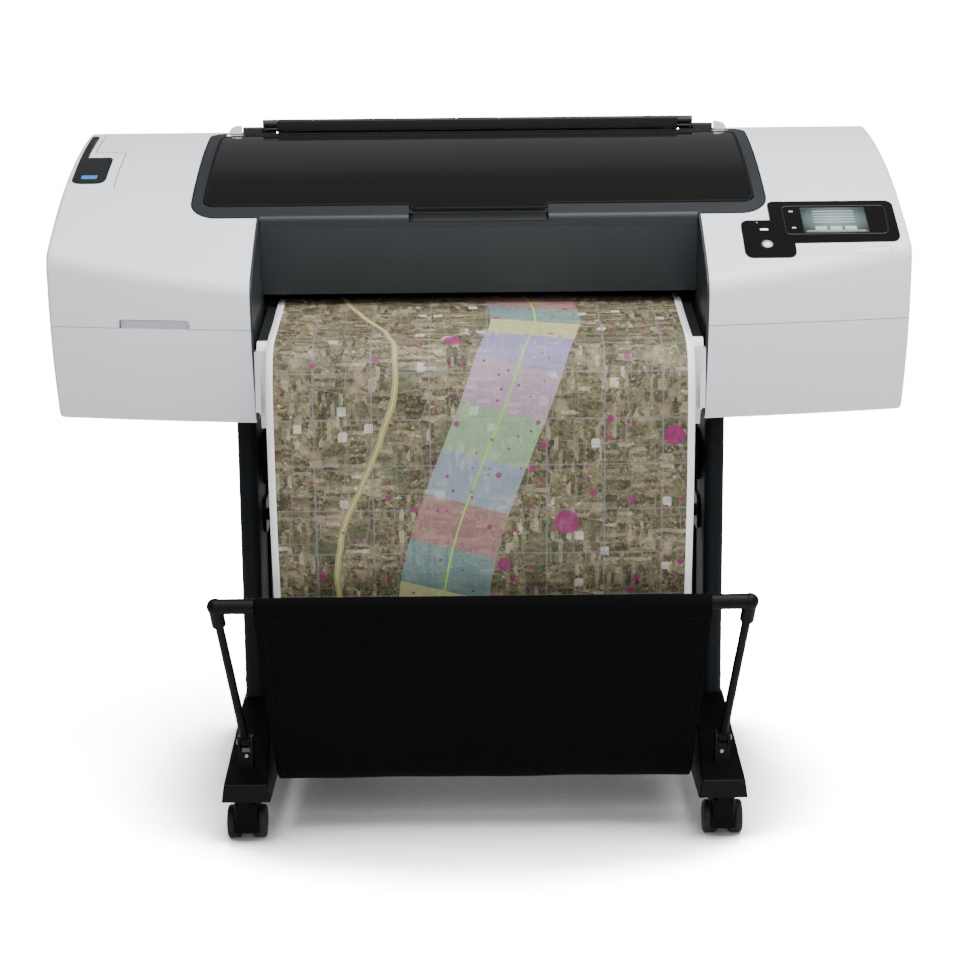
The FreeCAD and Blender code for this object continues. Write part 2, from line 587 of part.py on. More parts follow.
def make_service():
    station = box(372, 500, -60, 62, 700, 790).cut(box(378, 494, -54, 56, 706, 800))
    posts = [box(x, x + 8, -52, 54, BODY_BOTTOM + WALL + 0.2, 702) for x in (380, 484)]
    caps = [box(394 + 29 * i, 417 + 29 * i, -44, 34, 705, 805) for i in range(3)]
    wiper = box(482, 485, -40, 40, 705, 803)
    save("service_station", station.fuse(caps + posts + [wiper]).removeSplitter())
    floor = BODY_BOTTOM + WALL + 0.2
    case = box(350, 578, 130, 232, floor, 820).cut(box(351.5, 576.5, 131.5, 240, floor + 1.5, 818.5))
    supply = box(360, 440, 131, 200, floor + 1, 740)
    board = box(452, 570, 131, 136, floor + 20, 800)
    save("electronics_case", case.fuse([supply, board]).removeSplitter())
    x0, x1, z0, z1 = -574.6, -495.4, 672.4, 711.6
    inlet = box(x0, x1, 236, 247, z0, z1)
    socket = box(x0 + 8, x0 + 40, 238, 250, z0 + 6, z1 - 6)
    blades = [box(x0 + 15 + 8 * i, x0 + 17 + 8 * i, 236, 246, 688, 696) for i in range(3)]
    rocker_hole = box(x0 + 50, x0 + 70, 238.5, 250, z0 + 6, z1 - 6)
    save("power_inlet", inlet.cut(socket).fuse(blades).cut(rocker_hole).removeSplitter())
    centre_z = (z0 + z1) / 2
    drum = cyl_x(x0 + 50.5, x0 + 69.5, 243, centre_z, 12)
    front = prism_x([(241, centre_z - 9), (247.2, centre_z - 12.4), (246.2, centre_z), (248.6, centre_z + 11),
                     (241, centre_z + 9)], x0 + 40, x0 + 80)
    save("power_rocker", drum.common(front))


# ---------------------------------------------------------------- stand
def make_stand():
    leg = box(LEG_OUTER - LEG_WIDTH, LEG_OUTER, LEG_FRONT, LEG_REAR, FOOT_LEG_TOP, BODY_BOTTOM - 0.2)
    leg = round_edges(leg, 11, lambda p, e: abs(p.z - (BODY_BOTTOM + FOOT_LEG_TOP) / 2) < 1)
    hollow = box(LEG_OUTER - LEG_WIDTH + 3, LEG_OUTER - 3, LEG_FRONT + 3, LEG_REAR - 3,
                 FOOT_LEG_TOP - 1, BODY_BOTTOM - 5)
    hollow = round_edges(hollow, 8, lambda p, e: abs(p.z - (BODY_BOTTOM + FOOT_LEG_TOP) / 2) < 5)
    leg = leg.cut(hollow)
    flange = box(LEG_OUTER - 62, LEG_OUTER - 22, LEG_FRONT + 10, LEG_REAR + 12,
                 BODY_BOTTOM - 6, BODY_BOTTOM - 0.2)
    save_pair("leg", leg.fuse(flange).removeSplitter())
    save_pair("foot", foot())
    brace = box(-347.8, 347.8, 48, 72, 492, 576)
    brace = round_edges(brace, 8, lambda p, e: along_x(e))
    channel = box(-349, 349, 52, 80, 498, 570)
    save("cross_brace", brace.cut(channel))
    rail = cyl_x(-347.8, 347.8, BIN_RAIL[0], BIN_RAIL[1], 10)
    plates = [box(x, x + 5, 30, 86, 416, 470) for x in (-347.8, 342.8)]
    plates = [round_edges(p, 12, lambda q, e: abs(abs(q.y - 58) - 28) < 0.1 and abs(q.z - 443) > 20)
              for p in plates]
    save("bin_rail", rail.fuse(plates).removeSplitter())


def foot():
    x0, x1 = FOOT_X
    top = FOOT_LEG_TOP
    profile = [(FOOT_FRONT, FOOT_BOTTOM), (HALF_DEPTH, FOOT_BOTTOM), (HALF_DEPTH, 104), (LEG_REAR + 8, top),
               (LEG_FRONT - 4, top), (FOOT_FRONT, FOOT_FRONT_TOP)]
    bar = prism_x(profile, x0, x1)
    middle = (x0 + x1) / 2
    draft = prism_y([(x0, FOOT_BOTTOM), (x1, FOOT_BOTTOM), (middle + 24, top + 1), (middle - 21, top + 1)],
                    FOOT_FRONT - 1, HALF_DEPTH + 1)
    bar = bar.common(draft)
    bar = round_edges(bar, 3, lambda p, e: p.z > FOOT_BOTTOM + 5)
    hollow = box(x0 + 9, x1 - 9, FOOT_FRONT + 8, HALF_DEPTH - 8, FOOT_BOTTOM - 1, 92)
    bar = bar.cut(hollow)
    for y in CASTER_Y:
        boss = cyl_z(CASTER_X, y, FOOT_BOTTOM, 98, 11)
        bar = bar.fuse(boss).cut(cyl_z(CASTER_X, y, FOOT_BOTTOM - 1, 95, 5.55))
    return bar.removeSplitter()


def caster_hood(x, y):
    """Swivelling hood: a curved fender over the front of two wheels, a core between them and a stem."""
    wheel_y = y + CASTER_TRAIL
    z = WHEEL_RADIUS
    fender = cyl_x(x - HOOD_HALF, x + HOOD_HALF, wheel_y, z, HOOD_RADIUS)
    fender = round_edges(fender, 5, lambda p, e: len(e.Vertexes) == 1)
    shoulder = box(x - 17, x + 17, wheel_y - 33, wheel_y + 14, z + 6, 67)
    shoulder = round_edges(shoulder, 8, lambda p, e: p.z > z + 10)
    neck = cyl_z(x, y, FOOT_BOTTOM - 20, FOOT_BOTTOM - 0.3, 14)
    open_side = prism_x([(wheel_y - 45, z - 9.5), (wheel_y - 8, z - 9.5), (wheel_y + 8, z + 4),
                         (wheel_y + 45, z + 4), (wheel_y + 45, -50), (wheel_y - 45, -50)], x - 40, x + 40)
    shell = fender.fuse([shoulder, neck]).cut(open_side)
    shell = shell.cut(cyl_x(x - 40, x + 40, wheel_y, z, WHEEL_RADIUS + 1))
    core = cyl_x(x - 7, x + 7, wheel_y, z, 15)
    web = box(x - 7, x + 7, wheel_y - 28, wheel_y, z - 9, z + 20).fuse(
        box(x - 7, x + 7, wheel_y - 14, wheel_y + 12, z + 10, z + 30))
    stem = cyl_z(x, y, 60, 93, 5.5)
    whole = shell.fuse([core, web, stem]).cut(cyl_x(x - 8, x + 8, wheel_y, z, 4.05))
    return whole.removeSplitter()


def caster_wheels(x, y):
    wheel_y = y + CASTER_TRAIL
    z = WHEEL_RADIUS
    near, far = WHEEL_SPAN
    discs = []
    for x0, x1 in ((x - far, x - near), (x + near, x + far)):
        disc = cyl_x(x0, x1, wheel_y, z, WHEEL_RADIUS)
        disc = round_edges(disc, 4.5, lambda p, e: len(e.Vertexes) == 1)
        face = x1 if x0 > x else x0
        disc = disc.cut(cyl_x(face - 2, face + 2, wheel_y, z, 16))
        discs.append(disc)
    axle = cyl_x(x - near - 4, x + near + 4, wheel_y, z, 4.0)
    return axle.fuse(discs).removeSplitter()


def make_casters():
    for end, y in zip(("front", "rear"), CASTER_Y):
        save_pair("caster_hood_" + end, caster_hood(CASTER_X, y))
        save_pair("caster_wheels_" + end, caster_wheels(CASTER_X, y))


# ---------------------------------------------------------------- catch bin
def make_bin():
    ty, tz = TUBE_CENTRE
    py, pz = BIN_PIVOT
    pieces = [cyl_x(-TUBE_HALF, TUBE_HALF, ty, tz, TUBE_RADIUS)]
    for side in (-1, 1):
        top = (side * TUBE_HALF, ty, tz)
        foot_end = (side * BIN_PIVOT_X, py, pz)
        down = V(*foot_end) - V(*top)
        socket_end = V(*top) + down * 0.13
        pieces.append(Part.makeSphere(TUBE_RADIUS + 1.6, V(*top)))
        inner, outer = sorted((side * (SLING_HALF + 2), side * TUBE_HALF))
        pieces.append(cyl_x(inner, outer, ty, tz, TUBE_RADIUS + 0.6))
        pieces.append(rod(top, socket_end, 10.5))
        pieces.append(rod(top, foot_end, 6.5))
        pieces.append(cyl_x(side * BIN_PIVOT_X - 6, side * BIN_PIVOT_X + 6, py, pz, 9))
    frame = pieces[0].fuse(pieces[1:])
    frame = frame.cut(cyl_x(-500, 500, py, pz, 4.05))
    save("bin_frame", frame.removeSplitter())

    blocks = []
    for side in (-1, 1):
        x = BIN_PIVOT_X
        ears = box(x - 11.5, x + 11.5, py - 9, py + 13, 100, pz + 9)
        ears = round_edges(ears, 7, lambda p, e: along_x(e) and p.z > pz)
        ears = ears.cut(box(x - 7.6, x + 7.6, py - 20, py + 20, pz - 13, pz + 20))
        pin = cyl_x(x - 11, x + 11, py, pz, 4)
        block = ears.fuse(pin).cut(foot())
        blocks.append(block if side > 0 else mirror_x(block))
    save("bin_brackets", Part.makeCompound(blocks))
    make_sling()


def make_sling():
    ty, tz = TUBE_CENTRE
    ry, rz = BIN_RAIL
    path = [(ty - 12.6, tz - 2), (-316, 340), (-278, 230), (-238, 125), (-222, 97), (-200, 88), (-120, 90),
            (-50, 118), (-5, 200), (20, 320), (ry - 11.6, rz)]
    half = SLING_HALF
    sling = ribbon(path, 1.6, -half, half)
    shape = prism_y([(-half, 380), (-half + 12, 190), (-half + 17, 110), (-half + 23, 80), (half - 23, 80),
                     (half - 17, 110), (half - 12, 190), (half, 380), (half, 470), (-half, 470)], -400, 200)
    sling = sling.common(shape)
    sleeve = cyl_x(-half, half, ty, tz, TUBE_RADIUS + 2.0).cut(cyl_x(-339, 339, ty, tz, TUBE_RADIUS + 0.4))
    loop = cyl_x(-half, half, ry, rz, 11.8).cut(cyl_x(-339, 339, ry, rz, 10.3))
    save("bin_sling", sling.fuse([sleeve, loop]).removeSplitter())


def main():
    os.makedirs("parts", exist_ok=True)
    make_covers()
    make_surround()
    make_lid()
    make_control_panel()
    make_lever()
    make_inner_walls()
    make_middle()
    make_paper()
    make_roll_cover()
    make_transport()
    make_ink()
    make_service()
    make_stand()
    make_casters()
    make_bin()


main()
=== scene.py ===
"""Looks of the large format plotter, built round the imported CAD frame. Metres, +Z up, the front faces -Y."""
import json
import math

import bpy
from mathutils import Matrix, Vector, noise


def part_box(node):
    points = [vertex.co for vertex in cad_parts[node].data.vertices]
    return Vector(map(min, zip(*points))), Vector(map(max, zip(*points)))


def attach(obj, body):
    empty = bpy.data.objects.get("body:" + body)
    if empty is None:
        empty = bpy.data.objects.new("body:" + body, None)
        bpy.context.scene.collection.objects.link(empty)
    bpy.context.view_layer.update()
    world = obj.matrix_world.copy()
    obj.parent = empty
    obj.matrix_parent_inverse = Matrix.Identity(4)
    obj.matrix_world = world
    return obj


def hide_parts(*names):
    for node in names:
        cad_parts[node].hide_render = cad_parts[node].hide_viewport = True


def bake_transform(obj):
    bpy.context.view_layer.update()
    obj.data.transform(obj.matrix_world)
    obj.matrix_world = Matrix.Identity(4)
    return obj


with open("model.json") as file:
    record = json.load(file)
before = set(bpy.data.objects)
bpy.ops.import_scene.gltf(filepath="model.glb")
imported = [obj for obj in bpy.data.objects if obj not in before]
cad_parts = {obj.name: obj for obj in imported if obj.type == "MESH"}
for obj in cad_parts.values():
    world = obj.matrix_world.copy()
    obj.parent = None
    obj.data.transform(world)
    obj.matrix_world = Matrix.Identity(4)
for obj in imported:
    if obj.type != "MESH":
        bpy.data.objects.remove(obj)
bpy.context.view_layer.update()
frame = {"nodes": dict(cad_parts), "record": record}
NODES = frame["nodes"]


def span(node):
    """Lowest corner, highest corner and middle of a CAD node."""
    low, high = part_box(node)
    return low, high, (low + high) / 2


# ---------------------------------------------------------------- materials
class Graph:
    """A material and short ways to add nodes to it. A socket takes a number, a colour or another output."""

    def __init__(self, name, colour=(0.8, 0.8, 0.8), roughness=0.5, metallic=0.0, **sockets):
        self.material = bpy.data.materials.new(name)
        self.material.use_nodes = True
        self.tree = self.material.node_tree
        self.shader = self.tree.nodes["Principled BSDF"]
        self.material.diffuse_color = (*colour, 1)
        self.feed(self.shader, "Base Color", colour)
        self.feed(self.shader, "Roughness", roughness)
        self.feed(self.shader, "Metallic", metallic)
        for socket, value in sockets.items():
            self.feed(self.shader, socket.replace("_", " "), value)

    def feed(self, node, socket, value):
        target = node.inputs[socket]
        if isinstance(value, bpy.types.NodeSocket):
            self.tree.links.new(value, target)
        elif hasattr(value, "__len__") and len(value) == 3 and target.type == "RGBA":
            target.default_value = (*value, 1)
        else:
            target.default_value = value

    def add(self, kind, inputs=(), **settings):
        node = self.tree.nodes.new(kind)
        for name, value in settings.items():
            setattr(node, name, value)
        for socket, value in dict(inputs).items():
            self.feed(node, socket, value)
        return node

    def maths(self, operation, *values):
        node = self.add("ShaderNodeMath", operation=operation)
        for i, value in enumerate(values):
            self.feed(node, i, value)
        return node.outputs[0]

    def place(self, kind="Object", scale=(1, 1, 1)):
        coordinates = self.add("ShaderNodeTexCoord").outputs[kind]
        return self.add("ShaderNodeMapping", {"Vector": coordinates, "Scale": scale}).outputs[0]

    def noise(self, vector, scale, detail=3.0, roughness=0.5):
        inputs = {"Vector": vector, "Scale": scale, "Detail": detail, "Roughness": roughness}
        return self.add("ShaderNodeTexNoise", inputs).outputs["Fac"]

    def between(self, value, low, high, start=0.0, end=1.0):
        inputs = {"Value": value, "From Min": start, "From Max": end, "To Min": low, "To Max": high}
        return self.add("ShaderNodeMapRange", inputs).outputs[0]

    def mix(self, factor, first, second, blend="MIX"):
        node = self.add("ShaderNodeMix", data_type="RGBA", blend_type=blend)
        self.feed(node, 0, factor)
        self.feed(node, 6, first)
        self.feed(node, 7, second)
        return node.outputs[2]

    def ramp(self, value, stops, interpolation="LINEAR"):
        node = self.add("ShaderNodeValToRGB", {"Fac": value})
        band = node.color_ramp
        band.interpolation = interpolation
        while len(band.elements) < len(stops):
            band.elements.new(1.0)
        for element, (at, colour) in zip(band.elements, stops):
            element.position = at
            element.color = (*colour, 1)
        return node.outputs[0]

    def bump(self, height, strength, distance=0.001):
        inputs = {"Height": height, "Strength": strength, "Distance": distance}
        normal = self.add("ShaderNodeBump", inputs).outputs[0]
        self.feed(self.shader, "Normal", normal)
        return normal


def tone(colour, factor):
    return tuple(min(1.0, c * factor) for c in colour)


def moulded(name, colour, roughness=0.42, grain=0.12, drift=0.03, **sockets):
    """Moulded plastic: a fine spark-eroded grain, and a little drift in colour and gloss."""
    g = Graph(name, colour, roughness, **sockets)
    where = g.place()
    slow = g.noise(where, 6.0, 2.0)
    fine = g.noise(where, 2600.0, 1.0)
    g.feed(g.shader, "Base Color", g.mix(slow, tone(colour, 1 - drift), tone(colour, 1 + drift)))
    rough = g.between(g.noise(where, 40.0, 4.0), roughness - 0.05, roughness + 0.05)
    g.feed(g.shader, "Roughness", rough)
    g.bump(fine, grain, 0.0002)
    return g.material


def powder_coat(name, colour, roughness=0.4, specular=0.3):
    """Powder-coated steel: a soft orange-peel surface."""
    g = Graph(name, colour, roughness, Specular_IOR_Level=specular)
    where = g.place()
    peel = g.noise(where, 900.0, 2.0)
    dust = g.noise(where, 22.0, 5.0, 0.6)
    g.feed(g.shader, "Base Color", g.mix(dust, tone(colour, 0.85), tone(colour, 1.25)))
    g.feed(g.shader, "Roughness", g.between(dust, roughness - 0.06, roughness + 0.08))
    g.bump(peel, 0.25, 0.0003)
    return g.material


def glossy(name, colour, roughness=0.05):
    """Polished black plastic with a hard clear skin and the faintest smears."""
    g = Graph(name, colour, roughness, IOR=1.5, Coat_Weight=0.35, Coat_Roughness=0.03)
    where = g.place()
    smear = g.noise(where, 9.0, 5.0, 0.65)
    g.feed(g.shader, "Roughness", g.between(smear, roughness, roughness + 0.05, 0.35, 0.75))
    g.bump(g.noise(where, 3.0, 1.0), 0.02, 0.002)
    return g.material


def metal(name, colour, roughness=0.3, stretch=(1, 60, 60)):
    """Drawn or ground metal with fine lines along one axis."""
    g = Graph(name, colour, roughness, metallic=1.0)
    lines = g.noise(g.place(scale=stretch), 60.0, 4.0)
    g.feed(g.shader, "Roughness", g.between(lines, roughness - 0.1, roughness + 0.12))
    g.bump(lines, 0.08, 0.0002)
    return g.material


def rubbery(name, colour, roughness=0.75):
    g = Graph(name, colour, roughness, Specular_IOR_Level=0.2)
    where = g.place()
    scuffs = g.noise(where, 120.0, 6.0, 0.7)
    g.feed(g.shader, "Base Color", g.mix(scuffs, tone(colour, 0.8), tone(colour, 1.3)))
    g.bump(scuffs, 0.2, 0.0004)
    return g.material


WEAVE_PITCH = 0.0018


def woven(name, colour):
    """Nylon cloth: a plain weave with painted shade between the threads and a painted highlight on their
    crests, a soft sheen and slightly cloudy wear.
    """
    g = Graph(name, colour, 0.85, Specular_IOR_Level=0.05, Sheen_Weight=0.008, Sheen_Roughness=0.4)
    where = g.place("UV")
    parts = g.add("ShaderNodeSeparateXYZ", {"Vector": where}).outputs
    pitch = 2 * math.pi / WEAVE_PITCH
    warp = g.maths("SINE", g.maths("MULTIPLY", parts[0], pitch))
    weft = g.maths("SINE", g.maths("MULTIPLY", parts[1], pitch))
    threads = g.maths("MULTIPLY", warp, weft)
    cloudy = g.noise(where, 14.0, 5.0, 0.6)
    # Painted light: the weave's crests are lightened and the hollows between the threads darkened in the base
    # colour.
    weave_shade = g.mix(g.between(threads, 0, 1, -1, 1), tone(colour, 0.6), tone(colour, 1.5))
    g.feed(g.shader, "Base Color", g.mix(g.between(cloudy, 0, 0.5), weave_shade, tone(colour, 1.6)))
    g.feed(g.shader, "Roughness", g.between(cloudy, 0.76, 0.9))
    g.bump(threads, 0.35, 0.0004)
    return g.material


def plain_paper(name, colour=(0.9, 0.9, 0.89)):
    g = Graph(name, colour, 0.6)
    fibre = g.noise(g.place(), 700.0, 5.0, 0.7)
    g.feed(g.shader, "Base Color", g.mix(fibre, tone(colour, 0.97), tone(colour, 1.02)))
    g.bump(fibre, 0.06, 0.0002)
    return g.material


# The print is a made-up map. Formulas lay out its band of zones and its road, and random cells its dots.
BLOCKS = 27.0
PASTELS = ((0.55, 0.54, 0.27), (0.30, 0.27, 0.50), (0.45, 0.32, 0.45), (0.28, 0.46, 0.28), (0.27, 0.35, 0.45),
           (0.33, 0.16, 0.17), (0.15, 0.26, 0.28))
ZONE_LENGTH = 0.068
BAND_HALF = 0.066
AVENUES = ((0.083, 0.031), (0.067, 0.012))
ROAD_HALF = 0.0046
ROUTE_HALF = 0.0013
PRINT_HALF = 0.2950
MAGENTA = (0.19, 0.012, 0.095)
# For each size of dot: cells in a metre, the share of cells that stay empty, and the largest radius in cells.
DOTS = ((11.0, 0.45, 0.20), (34.0, 0.55, 0.18), (70.0, 0.55, 0.18))


def winding(g, along, middle, swing, length, shift):
    """How far from the sheet's middle a winding line of the map is, for a distance along the sheet."""
    angle = g.maths("MULTIPLY", g.maths("ADD", along, shift), 2 * math.pi / length)
    return g.maths("ADD", g.maths("MULTIPLY", g.maths("SINE", angle), swing), middle)


def map_city(g, where):
    """Aerial view of streets, roofs and gardens: blocks of rows that turn from one block to the next."""
    def cells(scale, vector=where, chaos=0.35, **settings):
        inputs = {"Vector": vector, "Scale": scale, "Randomness": chaos}
        node = g.add("ShaderNodeTexVoronoi", inputs, **settings)
        if settings.get("feature"):
            return node.outputs["Distance"]
        return g.add("ShaderNodeSeparateColor", {"Color": node.outputs["Color"]}).outputs

    block = cells(BLOCKS)
    rows = []
    for stretch in ((50, 185, 1), (170, 58, 1)):
        turned = g.add("ShaderNodeMapping", {"Vector": where, "Scale": stretch}).outputs[0]
        rows.append(cells(1.0, turned, 0.45)[0])
    way = g.maths("GREATER_THAN", block[0], 0.45)
    other_way = g.maths("SUBTRACT", 1.0, way)
    row = g.maths("ADD", g.maths("MULTIPLY", way, rows[0]), g.maths("MULTIPLY", other_way, rows[1]))
    tones = ((0.0, (0.06, 0.058, 0.036)), (0.28, (0.12, 0.108, 0.07)), (0.55, (0.20, 0.178, 0.12)),
             (0.82, (0.30, 0.275, 0.205)), (0.96, (0.44, 0.42, 0.35)))
    city = g.ramp(row, tones, "CONSTANT")
    speck = g.ramp(cells(300.0, chaos=1.0, distance="CHEBYCHEV")[0],
                   ((0.0, (0.04, 0.042, 0.026)), (0.3, (0.12, 0.108, 0.072)), (0.62, (0.21, 0.19, 0.135)),
                    (0.92, (0.36, 0.34, 0.27)), (0.99, (0.6, 0.59, 0.54))), "CONSTANT")
    city = g.mix(0.42, city, speck)
    district = g.ramp(block[1], ((0.0, (0.46, 0.43, 0.34)), (1.0, (1.0, 0.96, 0.78))))
    city = g.mix(0.75, city, district, "MULTIPLY")
    lot = cells(80.0, distance="CHEBYCHEV")[1]
    city = g.mix(g.maths("GREATER_THAN", lot, 0.985), city, (0.40, 0.39, 0.34))
    green = g.between(g.noise(where, 13.0, 4.0, 0.6), 0.0, 0.75, 0.53, 0.66)
    city = g.mix(green, city, (0.07, 0.08, 0.042))
    bare = g.between(g.noise(where, 21.0, 2.0), 0.0, 0.5, 0.62, 0.70)
    city = g.mix(bare, city, (0.32, 0.25, 0.165))
    street = g.maths("LESS_THAN", cells(BLOCKS, feature="DISTANCE_TO_EDGE"), 0.024)
    return g.mix(g.maths("MULTIPLY", street, 0.45), city, (0.17, 0.165, 0.14))


def map_print(name):
    """A printed map with a white margin: a city from above, pastel zones, a motorway and magenta dots."""
    g = Graph(name, (0.3, 0.28, 0.2), 0.5, Specular_IOR_Level=0.2)
    where = g.place("UV")
    across, along = g.add("ShaderNodeSeparateXYZ", {"Vector": where}).outputs[:2]
    picture = map_city(g, where)
    for axis, (gap, shift) in zip((across, along), AVENUES):
        phase = g.maths("FRACT", g.maths("DIVIDE", g.maths("ADD", axis, shift + 5 * gap), gap))
        avenue = g.maths("LESS_THAN", g.maths("ABSOLUTE", g.maths("SUBTRACT", phase, 0.5)), 0.016)
        picture = g.mix(g.maths("MULTIPLY", avenue, 0.55), picture, (0.17, 0.165, 0.16))
    wander = g.between(g.noise(where, 16.0, 2.0), -0.006, 0.006)
    road = g.maths("SUBTRACT", across, winding(g, along, -0.165, 0.045, 0.62, 0.16))
    road = g.maths("ABSOLUTE", g.maths("ADD", road, wander))
    picture = g.mix(g.maths("LESS_THAN", road, ROAD_HALF), picture, (0.26, 0.24, 0.095))
    picture = g.mix(g.maths("LESS_THAN", road, 0.0008), picture, (0.42, 0.4, 0.25))
    off = g.maths("SUBTRACT", across, winding(g, along, 0.012, 0.07, 1.1, -0.18))
    inside = g.maths("LESS_THAN", g.maths("ABSOLUTE", off), BAND_HALF)
    tilted = g.maths("SUBTRACT", along, g.maths("MULTIPLY", off, 0.25))
    turn = g.maths("FRACT", g.maths("DIVIDE", tilted, ZONE_LENGTH * len(PASTELS)))
    stops = [(i / len(PASTELS), colour) for i, colour in enumerate(PASTELS)]
    picture = g.mix(g.maths("MULTIPLY", inside, 0.52), picture, g.ramp(turn, stops, "CONSTANT"))
    route = g.maths("LESS_THAN", g.maths("ABSOLUTE", off), ROUTE_HALF)
    picture = g.mix(route, picture, (0.22, 0.5, 0.06))
    dots = 0.0
    for scale, share, radius in DOTS:
        cells = g.add("ShaderNodeTexVoronoi", {"Vector": where, "Scale": scale, "Randomness": 1.0})
        chance = g.add("ShaderNodeSeparateColor", {"Color": cells.outputs["Color"]}).outputs[2]
        size = g.between(chance, 0.0, radius, share, 1.0)
        dots = g.maths("MAXIMUM", dots, g.maths("LESS_THAN", cells.outputs["Distance"], size))
    picture = g.mix(g.maths("MULTIPLY", dots, 0.82), picture, MAGENTA)
    margin = g.maths("GREATER_THAN", g.maths("ABSOLUTE", across), PRINT_HALF)
    picture = g.mix(margin, picture, (0.88, 0.88, 0.87))
    g.feed(g.shader, "Base Color", picture)
    g.bump(g.noise(where, 700.0, 3.0), 0.03, 0.0002)
    return g.material


SHELL = (0.735, 0.75, 0.80)
MATERIALS = {
    "shell": moulded("shell_plastic", SHELL, 0.36, 0.08, 0.012),
    "rear_shell": moulded("rear_plastic", tone(SHELL, 0.93), 0.42, 0.12, 0.015),
    "surround": moulded("surround_plastic", (0.024, 0.0275, 0.0315), 0.42, 0.18, Specular_IOR_Level=0.3),
    "lid_surround": moulded("lid_surround_plastic", (0.0170, 0.0195, 0.0225), 0.42, 0.18,
                            Specular_IOR_Level=0.25),
    "dark_plastic": moulded("dark_plastic", (0.010, 0.011, 0.012), 0.45, 0.25, Specular_IOR_Level=0.3),
    "gloss_black": glossy("gloss_black", (0.004, 0.004, 0.0042)),
    "screen_glass": glossy("screen_glass", (0.02, 0.03, 0.035), 0.04),
    "white_plastic": moulded("white_plastic", (0.86, 0.87, 0.88), 0.25, 0.02),
    "paper": plain_paper("roll_paper"),
    "steel": metal("bright_steel", (0.62, 0.63, 0.65)),
    "roller": rubbery("roller_rubber", (0.035, 0.035, 0.037)),
    "hub": moulded("hub_plastic", (0.03, 0.11, 0.34), 0.4),
    "belt": rubbery("belt_rubber", (0.015, 0.015, 0.016)),
    "pulley": metal("pulley_metal", (0.7, 0.7, 0.72), 0.35, (1, 1, 1)),
    "carriage": moulded("carriage_plastic", (0.03, 0.032, 0.036), 0.45),
    "cartridge": moulded("cartridge_plastic", (0.028, 0.03, 0.034), 0.4),
    "leg": powder_coat("leg_paint", (0.0078, 0.0096, 0.0118), 0.6, 0.1),
    "foot": powder_coat("foot_paint", (0.0012, 0.0012, 0.0015), 0.42, 0.12),
    "caster": moulded("caster_plastic", (0.0010, 0.0011, 0.0013), 0.45, 0.15, Specular_IOR_Level=0.07),
    "tyre": rubbery("tyre_rubber", (0.012, 0.0125, 0.0135), 0.6),
    "print": map_print("map_print"),
    "fabric": woven("black_nylon", (0.0011, 0.0011, 0.0013)),
}
THREAD = rubbery("thread", (0.006, 0.006, 0.007), 0.8)


def dress_cad():
    slots = {entry["node"]: entry["material_slot"] for entry in frame["record"]["subparts"]}
    for name, node in NODES.items():
        look = MATERIALS.get(name) or MATERIALS.get(slots[name])
        if look:
            for place in node.material_slots:
                place.material = look


dress_cad()


# ---------------------------------------------------------------- shapes
def piece(name, verts, faces, materials, body=None, uvs=None, indices=None, smooth=True):
    """A mesh piece that rides on a body. uvs has a pair for each vertex, indices a material for each face."""
    mesh = bpy.data.meshes.new(name)
    mesh.from_pydata([tuple(v) for v in verts], [], faces)
    for material in materials:
        mesh.materials.append(material)
    if indices:
        mesh.polygons.foreach_set("material_index", indices)
    if uvs:
        layer = mesh.uv_layers.new(name="UVMap")
        for loop in mesh.loops:
            layer.data[loop.index].uv = uvs[loop.vertex_index]
    mesh.polygons.foreach_set("use_smooth", [smooth] * len(faces))
    mesh.update()
    made = bpy.data.objects.new(name, mesh)
    bpy.context.scene.collection.objects.link(made)
    if body:
        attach(made, body)
    return made


def smooth_path(points, step=0.006):
    """Even steps along a curve through (y, z) points. Gives (distance along, y, z) for each."""
    fine = []
    ends = [points[0], *points, points[-1]]
    for a, b, c, d in zip(ends, ends[1:], ends[2:], ends[3:]):
        for i in range(24):
            t = i / 24
            fine.append(tuple(0.5 * (2 * q + (r - p) * t + (2 * p - 5 * q + 4 * r - s) * t * t
                                     + (3 * q - p - 3 * r + s) * t ** 3) for p, q, r, s in zip(a, b, c, d)))
    fine.append(points[-1])
    lengths = [0.0]
    for a, b in zip(fine, fine[1:]):
        lengths.append(lengths[-1] + math.dist(a, b))
    count = max(2, round(lengths[-1] / step))
    out = []
    k = 0
    for i in range(count + 1):
        want = lengths[-1] * i / count
        while k < len(fine) - 2 and lengths[k + 1] < want:
            k += 1
        share = (want - lengths[k]) / max(1e-9, lengths[k + 1] - lengths[k])
        out.append((want, *(a + (b - a) * share for a, b in zip(fine[k], fine[k + 1]))))
    return out


def slab(name, rows, uvs, thickness, materials, body=None):
    """A thin closed sheet whose front follows a grid of points. thickness is a function of row and column."""
    high, wide = len(rows), len(rows[0])
    back = []
    for i, row in enumerate(rows):
        for j, point in enumerate(row):
            down = rows[min(i + 1, high - 1)][j] - rows[max(i - 1, 0)][j]
            side = row[min(j + 1, wide - 1)] - row[max(j - 1, 0)]
            back.append(point + side.cross(down).normalized() * thickness(i, j))
    front = [point for row in rows for point in row]
    total = high * wide
    faces, indices = [], []
    for i in range(high - 1):
        for j in range(wide - 1):
            a, b, c, d = i * wide + j, i * wide + j + 1, (i + 1) * wide + j + 1, (i + 1) * wide + j
            faces += [(a, d, c, b), (a + total, b + total, c + total, d + total)]
            indices += [0, len(materials) - 1]
    rim = list(range(wide)) + [i * wide + wide - 1 for i in range(1, high)]
    rim += [(high - 1) * wide + j for j in range(wide - 2, -1, -1)]
    rim += [i * wide for i in range(high - 2, 0, -1)]
    for a, b in zip(rim, rim[1:] + rim[:1]):
        faces.append((a, b, b + total, a + total))
        indices.append(len(materials) - 1)
    return piece(name, front + back, faces, materials, body, uvs + uvs, indices)


